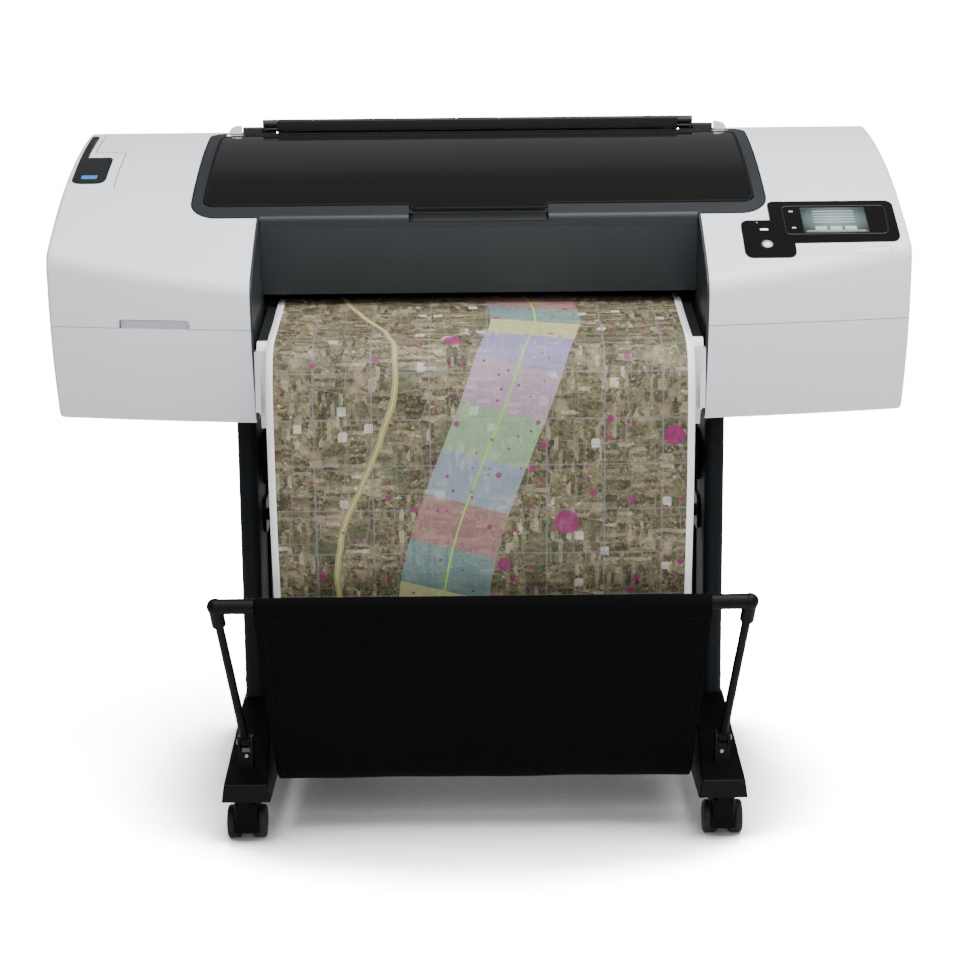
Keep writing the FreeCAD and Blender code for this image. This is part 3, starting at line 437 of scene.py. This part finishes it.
# ---------------------------------------------------------------- the printed sheet
SHEET_HALF = 0.305
PAPER_THICKNESS = 0.0003
PAPER_PATH = ((0.183, 0.962), (0.181, 0.900), (0.168, 0.845), (0.140, 0.809), (0.100, 0.8007),
              (0.020, 0.7996), (-0.050, 0.799), (-0.110, 0.789), (-0.180, 0.7775), (-0.240, 0.7685),
              (-0.276, 0.756), (-0.296, 0.726), (-0.304, 0.680), (-0.3035, 0.600), (-0.297, 0.518),
              (-0.2875, 0.450), (-0.277, 0.394), (-0.264, 0.320), (-0.248, 0.245), (-0.228, 0.170))


def make_printed_sheet():
    columns = 48
    rows, uvs = [], []
    for along, y, z in smooth_path(PAPER_PATH):
        free = min(1.0, max(0.0, (along - 0.62) / 0.3))
        row = []
        for j in range(columns + 1):
            x = -SHEET_HALF + 2 * SHEET_HALF * j / columns
            curl = 0.004 * (abs(x) / SHEET_HALF) ** 6
            lift = free * (0.0012 * math.sin(x * 13 + 0.6) - curl)
            row.append(Vector((x, y - lift, z)))
            uvs.append((x, along))
        rows.append(row)
    looks = [MATERIALS["print"], MATERIALS["paper"]]
    made = slab("printed_map", rows, uvs, lambda i, j: PAPER_THICKNESS, looks)
    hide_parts("printed_sheet")
    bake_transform(made)


# ---------------------------------------------------------------- the catch bin's fabric
SLING_PATH = ((-0.3150, 0.350), (-0.3080, 0.3745), (-0.3056, 0.391), (-0.3092, 0.3995), (-0.3176, 0.403),
              (-0.3262, 0.3994), (-0.3296, 0.391), (-0.3285, 0.376), (-0.3195, 0.350), (-0.3010, 0.294),
              (-0.278, 0.230), (-0.257, 0.174), (-0.238, 0.125), (-0.222, 0.099), (-0.200, 0.089),
              (-0.160, 0.0872), (-0.120, 0.090), (-0.084, 0.101), (-0.050, 0.119), (-0.027, 0.157),
              (-0.005, 0.205), (0.020, 0.320), (0.041, 0.410), (0.0467, 0.437), (0.0502, 0.4502),
              (0.058, 0.4535), (0.0662, 0.4500), (0.0695, 0.442), (0.0664, 0.4338), (0.058, 0.430),
              (0.0490, 0.417), (0.0455, 0.400))
SLING_STEPS = smooth_path(SLING_PATH, 0.005)
SLING_LENGTH = SLING_STEPS[-1][0]


def sling_half(z):
    """Half the fabric's width, which narrows towards the bottom of the bin."""
    stops = ((0.08, 0.307), (0.11, 0.313), (0.19, 0.318), (0.38, 0.330), (1.0, 0.330))
    for (z0, w0), (z1, w1) in zip(stops, stops[1:]):
        if z < z1:
            return w0 + (w1 - w0) * max(0.0, (z - z0) / (z1 - z0))
    return stops[-1][1]


def sling_point(along, share):
    """A point of the fabric. share runs from -1 at the left edge to 1 at the right edge."""
    k = min(len(SLING_STEPS) - 2, int(along / SLING_LENGTH * (len(SLING_STEPS) - 1)))
    (s0, y0, z0), (s1, y1, z1) = SLING_STEPS[k], SLING_STEPS[k + 1]
    t = (along - s0) / (s1 - s0)
    y, z = y0 + (y1 - y0) * t, z0 + (z1 - z0) * t
    out = Vector((0, z0 - z1, y1 - y0)).normalized()
    if along < 0.03:
        out.negate()
    slack = max(0.0, min(1.0, (along - 0.12) / 0.1, (SLING_LENGTH - 0.10 - along) / 0.1))
    slack *= 0.25 + 0.75 * min(1.0, max(0.0, abs(z - 0.10) - 0.02) / 0.12)
    x = share * sling_half(z)
    wave = 0.0016 * math.sin(x * 21 + along * 9) + 0.0011 * math.sin(x * 47 - along * 14 + 1.3)
    pull = 0.0022 * math.sin(along * 34 + abs(x) * 11) * abs(share) ** 2
    fold = noise.noise(Vector((x * 7, along * 9, 0.3))) * 0.0035
    return Vector((x, y, z)) + out * slack * (wave + pull + fold - 0.001)


def make_sling():
    columns = 110
    rows, uvs = [], []
    for along, *_ in SLING_STEPS:
        rows.append([sling_point(along, -1 + 2 * j / columns) for j in range(columns + 1)])
        uvs += [(p.x, along) for p in rows[-1]]

    def thickness(i, j):
        edge = min(j, columns - j) * 2 * 0.32 / columns
        return 0.0017 if edge < 0.013 else 0.0010

    sling = slab("bin_fabric", rows, uvs, thickness, [MATERIALS["fabric"]])
    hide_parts("bin_sling")
    stitches = make_stitches()
    for made in (sling, stitches):
        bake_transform(made)


def make_stitches():
    """Rows of thread: under the sleeve, under the rail loop, and along both side hems."""
    places = []
    for along in (0.103, SLING_LENGTH - 0.125):
        places += [(along, -0.985 + 0.0135 * i, (0.0019, 0.0)) for i in range(147)]
    for side in (-1, 1):
        count = round((SLING_LENGTH - 0.24) / 0.0052)
        places += [(0.10 + 0.0052 * i, side * 0.965, (0.0, 0.0019)) for i in range(count)]
    verts, faces = [], []
    for along, share, (across, down) in places:
        centre = sling_point(along, share)
        side = (sling_point(along, share + 0.004) - sling_point(along, share - 0.004)).normalized()
        ahead = (sling_point(along + 0.002, share) - sling_point(along - 0.002, share)).normalized()
        out = ahead.cross(side).normalized()
        long = side * across + ahead * down
        wide = out.cross(long).normalized() * 0.00035
        start = len(verts)
        verts += [centre + long, centre - long, centre + wide, centre - wide, centre + out * 0.00045,
                  centre - out * 0.0003]
        ring = (0, 2, 1, 3)
        for a, b in zip(ring, ring[1:] + ring[:1]):
            faces += [(start + a, start + b, start + 4), (start + b, start + a, start + 5)]
    return piece("bin_stitches", verts, faces, [THREAD])


make_printed_sheet()
make_sling()


# ---------------------------------------------------------------- small parts on the curved top
ARC_Y, ARC_Z, ARC_RADIUS = 0.37834, -0.02009, 1.0671


def skin(x, y, lift=0.0):
    """A point on the machine's curved top."""
    return Vector((x, y, ARC_Z + math.sqrt((ARC_RADIUS + lift) ** 2 - (y - ARC_Y) ** 2)))


def skin_normal(point):
    return Vector((0, point.y - ARC_Y, point.z - ARC_Z)).normalized()


def rounded(corners, steps=6):
    """Points round a polygon whose corners are (x, y, radius)."""
    line = []
    for i, (x, y, radius) in enumerate(corners):
        here = Vector((x, y))
        before = (Vector(corners[i - 1][:2]) - here).normalized()
        after = (Vector(corners[(i + 1) % len(corners)][:2]) - here).normalized()
        if radius == 0:
            line.append(here)
            continue
        half = before.angle(after) / 2
        reach = radius / math.tan(half)
        centre = here + (before + after).normalized() * (radius / math.sin(half))
        first, last = here + before * reach - centre, here + after * reach - centre
        turn = first.angle_signed(last)
        for k in range(steps + 1):
            angle = -turn * k / steps
            line.append(centre + Vector((first.x * math.cos(angle) - first.y * math.sin(angle),
                                         first.x * math.sin(angle) + first.y * math.cos(angle))))
    return line


def denser(line, step, closed):
    """The same line with points no further apart than step."""
    out = []
    for a, b in zip(line, line[1:] + (line[:1] if closed else [])):
        parts = max(1, math.ceil((b - a).length / step))
        out += [a.lerp(b, k / parts) for k in range(parts)]
    return out if closed else out + [line[-1]]


def bead(name, line, material, body="base", width=0.001, height=0.0002, lift=0.0, closed=True):
    """A strip with a rounded section, laid on the curved top along a line of (x, y) points."""
    line = denser([Vector(p) for p in line], 0.008, closed)
    section = ((-0.5, -0.9), (-0.46, 0.35), (-0.3, 0.85), (0.0, 1.0), (0.3, 0.85), (0.46, 0.35), (0.5, -0.9))
    verts, faces = [], []
    count, wide = len(line), len(section)
    for i, point in enumerate(line):
        ahead = line[(i + 1) % count] if closed or i < count - 1 else point
        behind = line[i - 1] if closed or i > 0 else point
        here = skin(point.x, point.y, lift)
        up = skin_normal(here)
        along = skin(ahead.x, ahead.y) - skin(behind.x, behind.y)
        side = along.cross(up).normalized()
        verts += [here + side * a * width + up * b * height for a, b in section]
    for i in range(count if closed else count - 1):
        j = (i + 1) % count
        faces += [(i * wide + k, j * wide + k, j * wide + k + 1, i * wide + k + 1) for k in range(wide - 1)]
        faces.append((i * wide + wide - 1, j * wide + wide - 1, j * wide, i * wide))
    if not closed:
        faces += [tuple(range(wide)), tuple(reversed(range((count - 1) * wide, count * wide)))]
    return piece(name, verts, faces, [material], body)


def patch(name, x0, x1, y0, y1, lift, thickness, material, body="base", steps=(16, 10)):
    """A thin plate that follows the curved top. Its UV runs from 0 to 1 across and up."""
    across, deep = steps
    rows, uvs = [], []
    for i in range(deep + 1):
        y = y1 + (y0 - y1) * i / deep
        rows.append([skin(x0 + (x1 - x0) * j / across, y, lift) for j in range(across + 1)])
        uvs += [(j / across, 1 - i / deep) for j in range(across + 1)]
    return slab(name, rows, uvs, lambda i, j: thickness, [material], body)


def lathe(profile, origin, axis, sides=28, flats=()):
    """Vertices and faces of a turned form. profile holds (radius, height); rings in flats are hexagonal."""
    axis = Vector(axis).normalized()
    first = axis.orthogonal().normalized()
    second = axis.cross(first)
    verts, faces = [], []
    for k, (radius, height) in enumerate(profile):
        for i in range(sides):
            angle = 2 * math.pi * i / sides
            part = (angle % (math.pi / 3)) - math.pi / 6
            r = radius * math.cos(math.pi / 6) / math.cos(part) if k in flats else radius
            spoke = first * math.cos(angle) + second * math.sin(angle)
            verts.append(Vector(origin) + axis * height + spoke * r)
    for k in range(len(profile) - 1):
        for i in range(sides):
            j = (i + 1) % sides
            faces.append((k * sides + i, k * sides + j, (k + 1) * sides + j, (k + 1) * sides + i))
    faces.append(tuple(range((len(profile) - 1) * sides, len(profile) * sides)))
    return verts, faces


def screws(name, places, material, size=0.004, body="base"):
    """Domed socket-head screws, each given as a place and the way its head faces."""
    profile = ((1.0, -0.25), (1.0, 0.12), (0.93, 0.3), (0.72, 0.42), (0.5, 0.46), (0.46, 0.44), (0.46, 0.05),
               (0.02, 0.02))
    verts, faces = [], []
    for place, axis in places:
        v, f = lathe([(r * size, h * size) for r, h in profile], place, axis, 24, (5, 6))
        faces += [tuple(i + len(verts) for i in face) for face in f]
        verts += v
    return piece(name, verts, faces, [material], body)


def make_top_details():
    seal_and_gap_shadow = rubbery("seal_and_gap_shadow", (0.0012, 0.0012, 0.0013), 0.7)
    # seam_shadow is painted shadow: dark strips laid in the pods' seams and round the loading lever, where the
    # gaps fall into shade.
    seam = rubbery("seam_shadow", (0.03, 0.031, 0.033), 0.9)
    lid = [(-0.4110, -0.0765, 0.017), (-0.1050, -0.0765, 0), (-0.1010, -0.0805, 0), (-0.1010, -0.0889, 0.004),
           (0.1010, -0.0889, 0.004), (0.1010, -0.0805, 0), (0.1050, -0.0765, 0), (0.4110, -0.0765, 0.017),
           (0.4110, 0.2008, 0.013), (-0.4110, 0.2008, 0.013)]
    # The lid's raised black edge bead; its black also paints the shadow in the gap round the lid.
    bead("lid_edge_seal_and_shadow", rounded(lid), seal_and_gap_shadow, "window_lid", 0.0034, 0.0009, 0.0012)
    ring = rounded([(-0.4306, -0.1074, 0.0404), (0.4306, -0.1074, 0.0404), (0.4306, 0.2256, 0.0222),
                    (-0.4306, 0.2256, 0.0222)])
    ring = denser(ring, 0.006, True)
    over_opening = [p.y < -0.1 and abs(p.x) < 0.3262 for p in ring]
    first = over_opening.index(True)
    ring = [p for p, skip in zip(ring[first:] + ring[:first], over_opening[first:] + over_opening[:first])
            if not skip]
    # Painted shadow: a dark bead along the surround's outer edge.
    bead("surround_edge_shadow_bead", ring, seal_and_gap_shadow, "base", 0.0021, 0.0005, 0.0003, closed=False)
    patch("lid_rear_trim", -0.4050, 0.4050, 0.2048, 0.2185, 0.0012, 0.0007, MATERIALS["gloss_black"])
    for side, x in (("left", -0.3535), ("right", 0.3275)):
        patch("cover_stop_" + side, x, x + 0.026, 0.2255, 0.2480, 0.0003, 0.0004, MATERIALS["dark_plastic"],
              steps=(6, 6))
    for side, x in (("left", -0.3318), ("right", 0.3254)):
        patch("cover_rest_" + side, x, x + 0.0064, 0.2462, 0.2494, 0.0065, 0.0070, MATERIALS["dark_plastic"],
              steps=(3, 2))
    make_finger_scoop_shade()
    # Painted shadow lines along the seam by the lever cover and round the lever.
    seam_line = [(-0.554, -0.0195), (-0.554, 0.118), (-0.602, 0.118), (-0.602, 0.228)]
    bead("lever_cover_seam_shadow", seam_line, seam, "base", 0.0013, 0.00025, 0.0, closed=False)
    lever_shadow_line = [(-0.6228, -0.0058, 0.0148), (-0.5702, -0.0058, 0.0148), (-0.5702, 0.0898, 0.004),
                  (-0.6092, 0.0898, 0)]
    bead("lever_outline_shadow", rounded(lever_shadow_line), seam, "base", 0.0012, 0.0003, 0.0, closed=False)
    blue = moulded("lever_blue", (0.035, 0.16, 0.52), 0.35, 0.05)
    patch("lever_mark", -0.6078, -0.5838, 0.0050, 0.0172, 0.0027, 0.0006, blue, "loading_lever")
    white = Graph("light_bar", (0.9, 0.9, 0.92), 0.3, Emission_Color=(0.9, 0.95, 1.0), Emission_Strength=1.2)
    glow = white.noise(white.place(), 400.0, 1.0)
    white.feed(white.shader, "Roughness", white.between(glow, 0.25, 0.35))
    patch("status_light", 0.4130, 0.4245, -0.1508, -0.1476, 0.0018, 0.0004, white.material)
    soft = moulded("panel_marks", (0.45, 0.46, 0.48), 0.4, 0.02)
    patch("panel_mark_upper", 0.4600, 0.4660, -0.1098, -0.1068, 0.0018, 0.0003, soft)
    patch("panel_mark_lower", 0.4600, 0.4660, -0.1476, -0.1448, 0.0018, 0.0003, soft)
    patch("panel_sensor", 0.4090, 0.4106, -0.1345, -0.1328, 0.0018, 0.0003, soft)
    radius = 0.0076
    angles = [a / 20 * math.pi for a in range(40)]
    circle = [(0.420 + radius * math.cos(a), -0.180 + radius * math.sin(a) * 0.93) for a in angles]
    bead("power_button_ring", circle, moulded("button_ring", (0.26, 0.27, 0.28), 0.3, 0.02), "base", 0.0013,
         0.0004, 0.0016)
    glass = [(0.4505, -0.1600, 0.007), (0.6000, -0.1600, 0.009), (0.6035, -0.0945, 0.007),
             (0.4505, -0.0945, 0.007)]
    bead("screen_glass_edge", rounded(glass), moulded("glass_edge", (0.02, 0.02, 0.021), 0.25, 0.0), "base",
         0.0011, 0.0003, 0.0016)
    patch("screen_face", 0.4776, 0.5724, -0.1564, -0.0986, 0.0014, 0.0003, screen_page())
    plate = [(0.468, -0.1995, 0.002), (0.600, -0.1975, 0.002), (0.600, -0.1840, 0.002),
             (0.468, -0.1840, 0.002)]
    bead("blank_label_edge", rounded(plate), moulded("label_edge", (0.42, 0.43, 0.45), 0.5, 0.02), "base",
         0.0006, 0.00018, 0.0)


def make_finger_scoop_shade():
    """Liner of the scoop under the lid's tab, coloured with painted shade: dark at the top under the tab, as
    light as the surround at its foot.
    """
    g = Graph("scoop_painted_shade", (0.006, 0.007, 0.008), 0.6, Specular_IOR_Level=0.1)
    down = g.add("ShaderNodeSeparateXYZ", {"Vector": g.place("UV")}).outputs[1]
    # Painted shade: the colour darkens from the scoop's foot up towards the tab.
    shade = g.ramp(down, ((0.0, (0.0008,) * 3), (0.45, (0.002, 0.0023, 0.0026)),
                          (1.0, (0.017, 0.0195, 0.0225))))
    g.feed(g.shader, "Base Color", shade)
    g.bump(g.noise(g.place(), 2600.0, 1.0), 0.15, 0.0002)
    top, foot = Vector((0, -0.0948, 0.9342)), Vector((0, -0.1075, 0.9223))
    rows, uvs = [], []
    for i in range(9):
        rows.append([top.lerp(foot, i / 8) + Vector((-0.104 + 0.208 * j / 24, 0, 0)) for j in range(25)])
        uvs += [(j / 24, i / 8) for j in range(25)]
    slab("scoop_shade_liner", rows, uvs, lambda i, j: 0.0004, [g.material], "base")


MENU_ROWS = 5
MENU_KEYS = 3


def screen_page():
    """A made-up menu page: a lit background, equal bars at even steps and a row of equal keys."""
    g = Graph("screen_page", (0.1, 0.15, 0.15), 0.08, Emission_Strength=0.9)
    where = g.place("UV")
    across, up = g.add("ShaderNodeSeparateXYZ", {"Vector": where}).outputs[:2]
    middle = (0.5, 0.5, 0)
    glow = g.add("ShaderNodeVectorMath", {0: where, 1: middle}, operation="DISTANCE").outputs["Value"]
    page = g.ramp(glow, ((0.0, (0.42, 0.55, 0.53)), (0.28, (0.22, 0.31, 0.30)), (0.6, (0.045, 0.065, 0.065))))

    def area(x0, x1, y0, y1):
        tests = (("GREATER_THAN", across, x0), ("LESS_THAN", across, x1), ("GREATER_THAN", up, y0),
                 ("LESS_THAN", up, y1))
        found = None
        for operation, value, limit in tests:
            test = g.maths(operation, value, limit)
            found = test if found is None else g.maths("MULTIPLY", found, test)
        return found

    for i in range(MENU_ROWS):
        foot = 0.38 + 0.11 * i
        page = g.mix(g.maths("MULTIPLY", area(0.18, 0.82, foot, foot + 0.04), 0.75), page, (0.75, 0.85, 0.82))
    for i in range(MENU_KEYS):
        left = 0.18 + 0.23 * i
        page = g.mix(area(left, left + 0.18, 0.10, 0.24), page, (0.8, 0.88, 0.88))
    g.feed(g.shader, "Base Color", g.mix(0.9, page, (0.01, 0.01, 0.01)))
    g.feed(g.shader, "Emission Color", page)
    return g.material


REAR_Y = 0.25


def make_fasteners():
    bright = metal("screw_steel", (0.36, 0.36, 0.37), 0.3, (1, 1, 1))
    black = powder_coat("black_screw", (0.006, 0.006, 0.007), 0.3)
    screws("bracket_pins", [((s * 0.3716, -0.217, 0.152), (s, 0, 0)) for s in (-1, 1)], bright, 0.0045)
    screws("bracket_screws", [((s * 0.3580, -0.2262, 0.1325), (0, -1, 0)) for s in (-1, 1)], bright, 0.0030)
    sides = [((s * 0.3782, y, z), (s, 0, 0)) for s in (-1, 1)
             for y, z in ((0.060, 0.512), (0.060, 0.556), (0.058, 0.430), (0.058, 0.456), (-0.006, 0.186),
                          (0.126, 0.186))]
    screws("leg_bolts", sides, black, 0.0055)
    rear = [((s * x, REAR_Y + 0.0001, z), (0, 1, 0))
            for x, z in ((0.612, 0.66), (0.612, 0.94), (0.36, 0.85), (0.2, 0.66)) for s in (-1, 1)]
    screws("rear_cover_screws", rear, black, 0.0036)


def make_leg_stiffeners():
    """A folded strip along the rear edge of each leg's inner face."""
    for side, sign in (("left", -1), ("right", 1)):
        line = rounded([(0.3482, 0.0930, 0.0010), (0.3482, 0.1520, 0.0010), (0.3430, 0.1520, 0.0022),
                        (0.3430, 0.0930, 0.0022)], 4)
        count = len(line)
        verts = [Vector((sign * p.x, p.y, z)) for z in (0.176, 0.178, 0.40, 0.618, 0.620) for p in line]
        faces = [tuple(range(count)), tuple(reversed(range(4 * count, 5 * count)))]
        for k in range(4):
            for i in range(count):
                j = (i + 1) % count
                faces.append((k * count + i, (k + 1) * count + i, (k + 1) * count + j, k * count + j))
        if sign > 0:
            faces = [tuple(reversed(face)) for face in faces]
        piece("leg_stiffener_" + side, verts, faces, [MATERIALS["leg"]], "base", smooth=False)


def upright_plate(name, corners, y, thickness, material, steps=5):
    """A flat plate on the rear panel. corners are (x, z, radius); its edge is slightly rounded over."""
    line = rounded(corners, steps)
    centre = sum(line, Vector((0, 0))) / len(line)
    verts, faces = [], []
    for inset, out in ((0.0, -0.0004), (0.0, thickness * 0.6), (0.0004, thickness)):
        verts += [Vector((p.x + (inset if p.x < centre.x else -inset), y + out,
                          p.y + (inset if p.y < centre.y else -inset))) for p in line]
    count = len(line)
    for k in range(2):
        for i in range(count):
            j = (i + 1) % count
            faces.append((k * count + i, (k + 1) * count + i, (k + 1) * count + j, k * count + j))
    faces.append(tuple(reversed(range(2 * count, 3 * count))))
    faces.append(tuple(range(count)))
    return piece(name, verts, faces, [material], "base", smooth=False)


def box_corners(x, z, width, height, radius):
    return [(x, z, radius), (x + width, z, radius), (x + width, z + height, radius), (x, z + height, radius)]


def make_rear_details():
    plate = metal("rating_foil", (0.62, 0.63, 0.64), 0.4, (1, 30, 30))
    upright_plate("rating_plate", box_corners(-0.47, 0.672, 0.09, 0.045, 0.003), REAR_Y, 0.0006, plate)
    upright_plate("port_panel", box_corners(0.140, 0.690, 0.14, 0.05, 0.004), REAR_Y, 0.0012,
                  MATERIALS["dark_plastic"])
    socket = metal("socket_metal", (0.55, 0.56, 0.58), 0.35, (1, 1, 1))
    # socket_hole_shade is painted shade: a flat dark plate that stands for the shaded hollow inside each
    # socket.
    hole = rubbery("socket_hole_shade", (0.002, 0.002, 0.002), 0.7)
    for i, (x, z, width, height) in enumerate(((0.153, 0.705, 0.018, 0.016), (0.181, 0.707, 0.014, 0.012),
                                               (0.207, 0.707, 0.014, 0.012), (0.233, 0.703, 0.034, 0.022))):
        outline = box_corners(x, z, width, height, 0.0012)
        inner = box_corners(x + 0.002, z + 0.002, width - 0.004, height - 0.004, 0.0008)
        upright_plate("port_%d" % i, outline, REAR_Y + 0.0012, 0.0008, socket)
        upright_plate("port_hole_%d" % i, inner, REAR_Y + 0.0020, 0.0003, hole)


def make_hub_caps():
    millimetres = ((15.7, -0.3), (15.6, 1.5), (14.9, 1.9), (14.2, 1.4), (13.4, 1.9), (9.0, 2.5), (5.2, 2.8),
                   (4.8, 2.3), (4.2, 2.3), (3.8, 3.0), (0.02, 3.1))
    profile = [(r * 0.001, h * 0.001) for r, h in millimetres]
    for end in ("front", "rear"):
        for side in ("left", "right"):
            low, high, middle = span("caster_wheels_%s_%s" % (end, side))
            verts, faces = [], []
            for x, out in ((low.x + 0.002, -1), (high.x - 0.002, 1)):
                v, f = lathe(profile, (x, middle.y, middle.z), (out, 0, 0), 40)
                faces += [tuple(i + len(verts) for i in face) for face in f]
                verts += v
            piece("wheel_hubs_%s_%s" % (end, side), verts, faces, [MATERIALS["caster"]],
                  "wheels_%s_%s" % (end, side))


make_top_details()
make_fasteners()
make_rear_details()
make_hub_caps()
make_leg_stiffeners()


# ---------------------------------------------------------------- set and camera
def area_light(name, location, target, size, power):
    data = bpy.data.lights.new(name, "AREA")
    data.shape = "RECTANGLE"
    data.size, data.size_y = size
    data.energy = power
    light = bpy.data.objects.new(name, data)
    light.location = location
    light.rotation_euler = (Vector(target) - Vector(location)).to_track_quat("-Z", "Y").to_euler()
    bpy.context.scene.collection.objects.link(light)


def camera_only(tree, seen, unseen):
    """A value that is seen for the camera's own rays, and unseen for light that bounces."""
    ray = tree.nodes.new("ShaderNodeLightPath")
    pick = tree.nodes.new("ShaderNodeMapRange")
    for socket, value in (("To Min", unseen), ("To Max", seen)):
        if isinstance(value, bpy.types.NodeSocket):
            tree.links.new(value, pick.inputs[socket])
        else:
            pick.inputs[socket].default_value = value
    tree.links.new(ray.outputs["Is Camera Ray"], pick.inputs["Value"])
    return pick.outputs[0]


# Brightness of the backdrop and of the open floor, as the camera sees them.
BACKDROP = 16.0
FLOOR = 22.0
FLOOR_REACH = 14
# How the sky's brightness goes with height, and the floor's with the share of open sky above it.
SKY = ((0.30, 0.45), (0.42, 0.20), (0.64, 0.17), (0.71, 0.10))
FLOOR_SHADOW = ((0.30, 0.03), (0.60, 0.11), (0.71, 0.45), (0.80, 1.0))
# Name, place, target, size in metres and power in watts.
LIGHTS = (
    ("overhead", (0.5, -0.9, 3.3), (0, -0.1, 0.9), (3.4, 2.0), 210),
    ("front", (0.6, -4.2, 2.6), (0, 0, 0.7), (3.2, 2.0), 95),
    ("side", (3.4, -1.2, 1.8), (0, 0, 0.8), (1.6, 2.4), 22),
    ("rear", (-1.2, 3.8, 1.1), (0, 0, 0.7), (2.6, 1.2), 45),
)


def make_backdrop():
    """White for the camera, and a dim graded sky for everything else."""
    world = bpy.data.worlds.new("studio")
    world.use_nodes = True
    tree = world.node_tree
    background = tree.nodes["Background"]
    background.inputs["Color"].default_value = (1, 1, 1, 1)
    up = tree.nodes.new("ShaderNodeSeparateXYZ")
    tree.links.new(tree.nodes.new("ShaderNodeTexCoord").outputs["Generated"], up.inputs[0])
    sky = tree.nodes.new("ShaderNodeValToRGB")
    for i, (at, level) in enumerate(SKY):
        element = sky.color_ramp.elements[i] if i < 2 else sky.color_ramp.elements.new(at)
        element.position = at
        element.color = (level, level, level, 1)
    tree.links.new(up.outputs["Z"], sky.inputs["Fac"])
    tree.links.new(camera_only(tree, BACKDROP, sky.outputs[0]), background.inputs["Strength"])
    bpy.context.scene.world = world


def make_floor():
    """A pale floor with a soft contact shadow, which fades into the backdrop further out."""
    mesh = bpy.data.meshes.new("floor")
    reach = FLOOR_REACH
    mesh.from_pydata([(-reach, -reach, 0), (reach, -reach, 0), (reach, reach, 0), (-reach, reach, 0)],
                     [], [(0, 1, 2, 3)])
    floor = bpy.data.objects.new("floor", mesh)
    bpy.context.scene.collection.objects.link(floor)
    g = Graph("floor_paint", (0.85, 0.85, 0.85), 0.9, Specular_IOR_Level=0.0)
    speck = g.between(g.noise(g.place(), 3.0, 3.0), 0.99, 1.01)
    open_sky = g.add("ShaderNodeAmbientOcclusion", {"Distance": 0.9}, samples=32).outputs["AO"]
    seen = g.ramp(open_sky, [(at, (level,) * 3) for at, level in FLOOR_SHADOW])
    seen = g.maths("MULTIPLY", g.add("ShaderNodeSeparateColor", {"Color": seen}).outputs[0], FLOOR)
    level = g.maths("MULTIPLY", camera_only(g.tree, seen, 0.8), speck)
    g.feed(g.shader, "Base Color", g.add("ShaderNodeCombineColor", {0: level, 1: level, 2: level}).outputs[0])
    far = g.add("ShaderNodeVectorMath", {0: g.place()}, operation="LENGTH").outputs["Value"]
    fade = g.maths("MULTIPLY", g.between(far, 0.0, 1.0, 1.3, 3.5), camera_only(g.tree, 1.0, 0.0))
    glow = g.add("ShaderNodeEmission", {"Color": (1, 1, 1), "Strength": BACKDROP}).outputs[0]
    both = g.add("ShaderNodeMixShader", {0: fade, 1: g.shader.outputs[0], 2: glow}).outputs[0]
    g.tree.links.new(both, g.tree.nodes["Material Output"].inputs["Surface"])
    mesh.materials.append(g.material)


CAMERA_PLACE = (-0.002, -3.3675, 1.222)
CAMERA_PITCH = 12.0
CAMERA_ROLL = 0.6
CAMERA_LENS = 82.1


def make_camera():
    """Straight on and looking down, with a slight roll."""
    pitch = math.radians(CAMERA_PITCH)
    roll = math.radians(CAMERA_ROLL)
    forward = Vector((0, math.cos(pitch), -math.sin(pitch)))
    right = Vector((1, 0, 0))
    up = right.cross(forward)
    rolled_right = right * math.cos(roll) - up * math.sin(roll)
    rolled_up = right * math.sin(roll) + up * math.cos(roll)
    axes = Matrix((rolled_right, rolled_up, -forward)).transposed().to_4x4()
    data = bpy.data.cameras.new("camera")
    data.sensor_width = 36.0
    data.lens = CAMERA_LENS
    camera = bpy.data.objects.new("camera", data)
    camera.matrix_world = Matrix.Translation(CAMERA_PLACE) @ axes
    bpy.context.scene.collection.objects.link(camera)
    bpy.context.scene.camera = camera


make_backdrop()
make_floor()
for light in LIGHTS:
    area_light(*light)
make_camera()
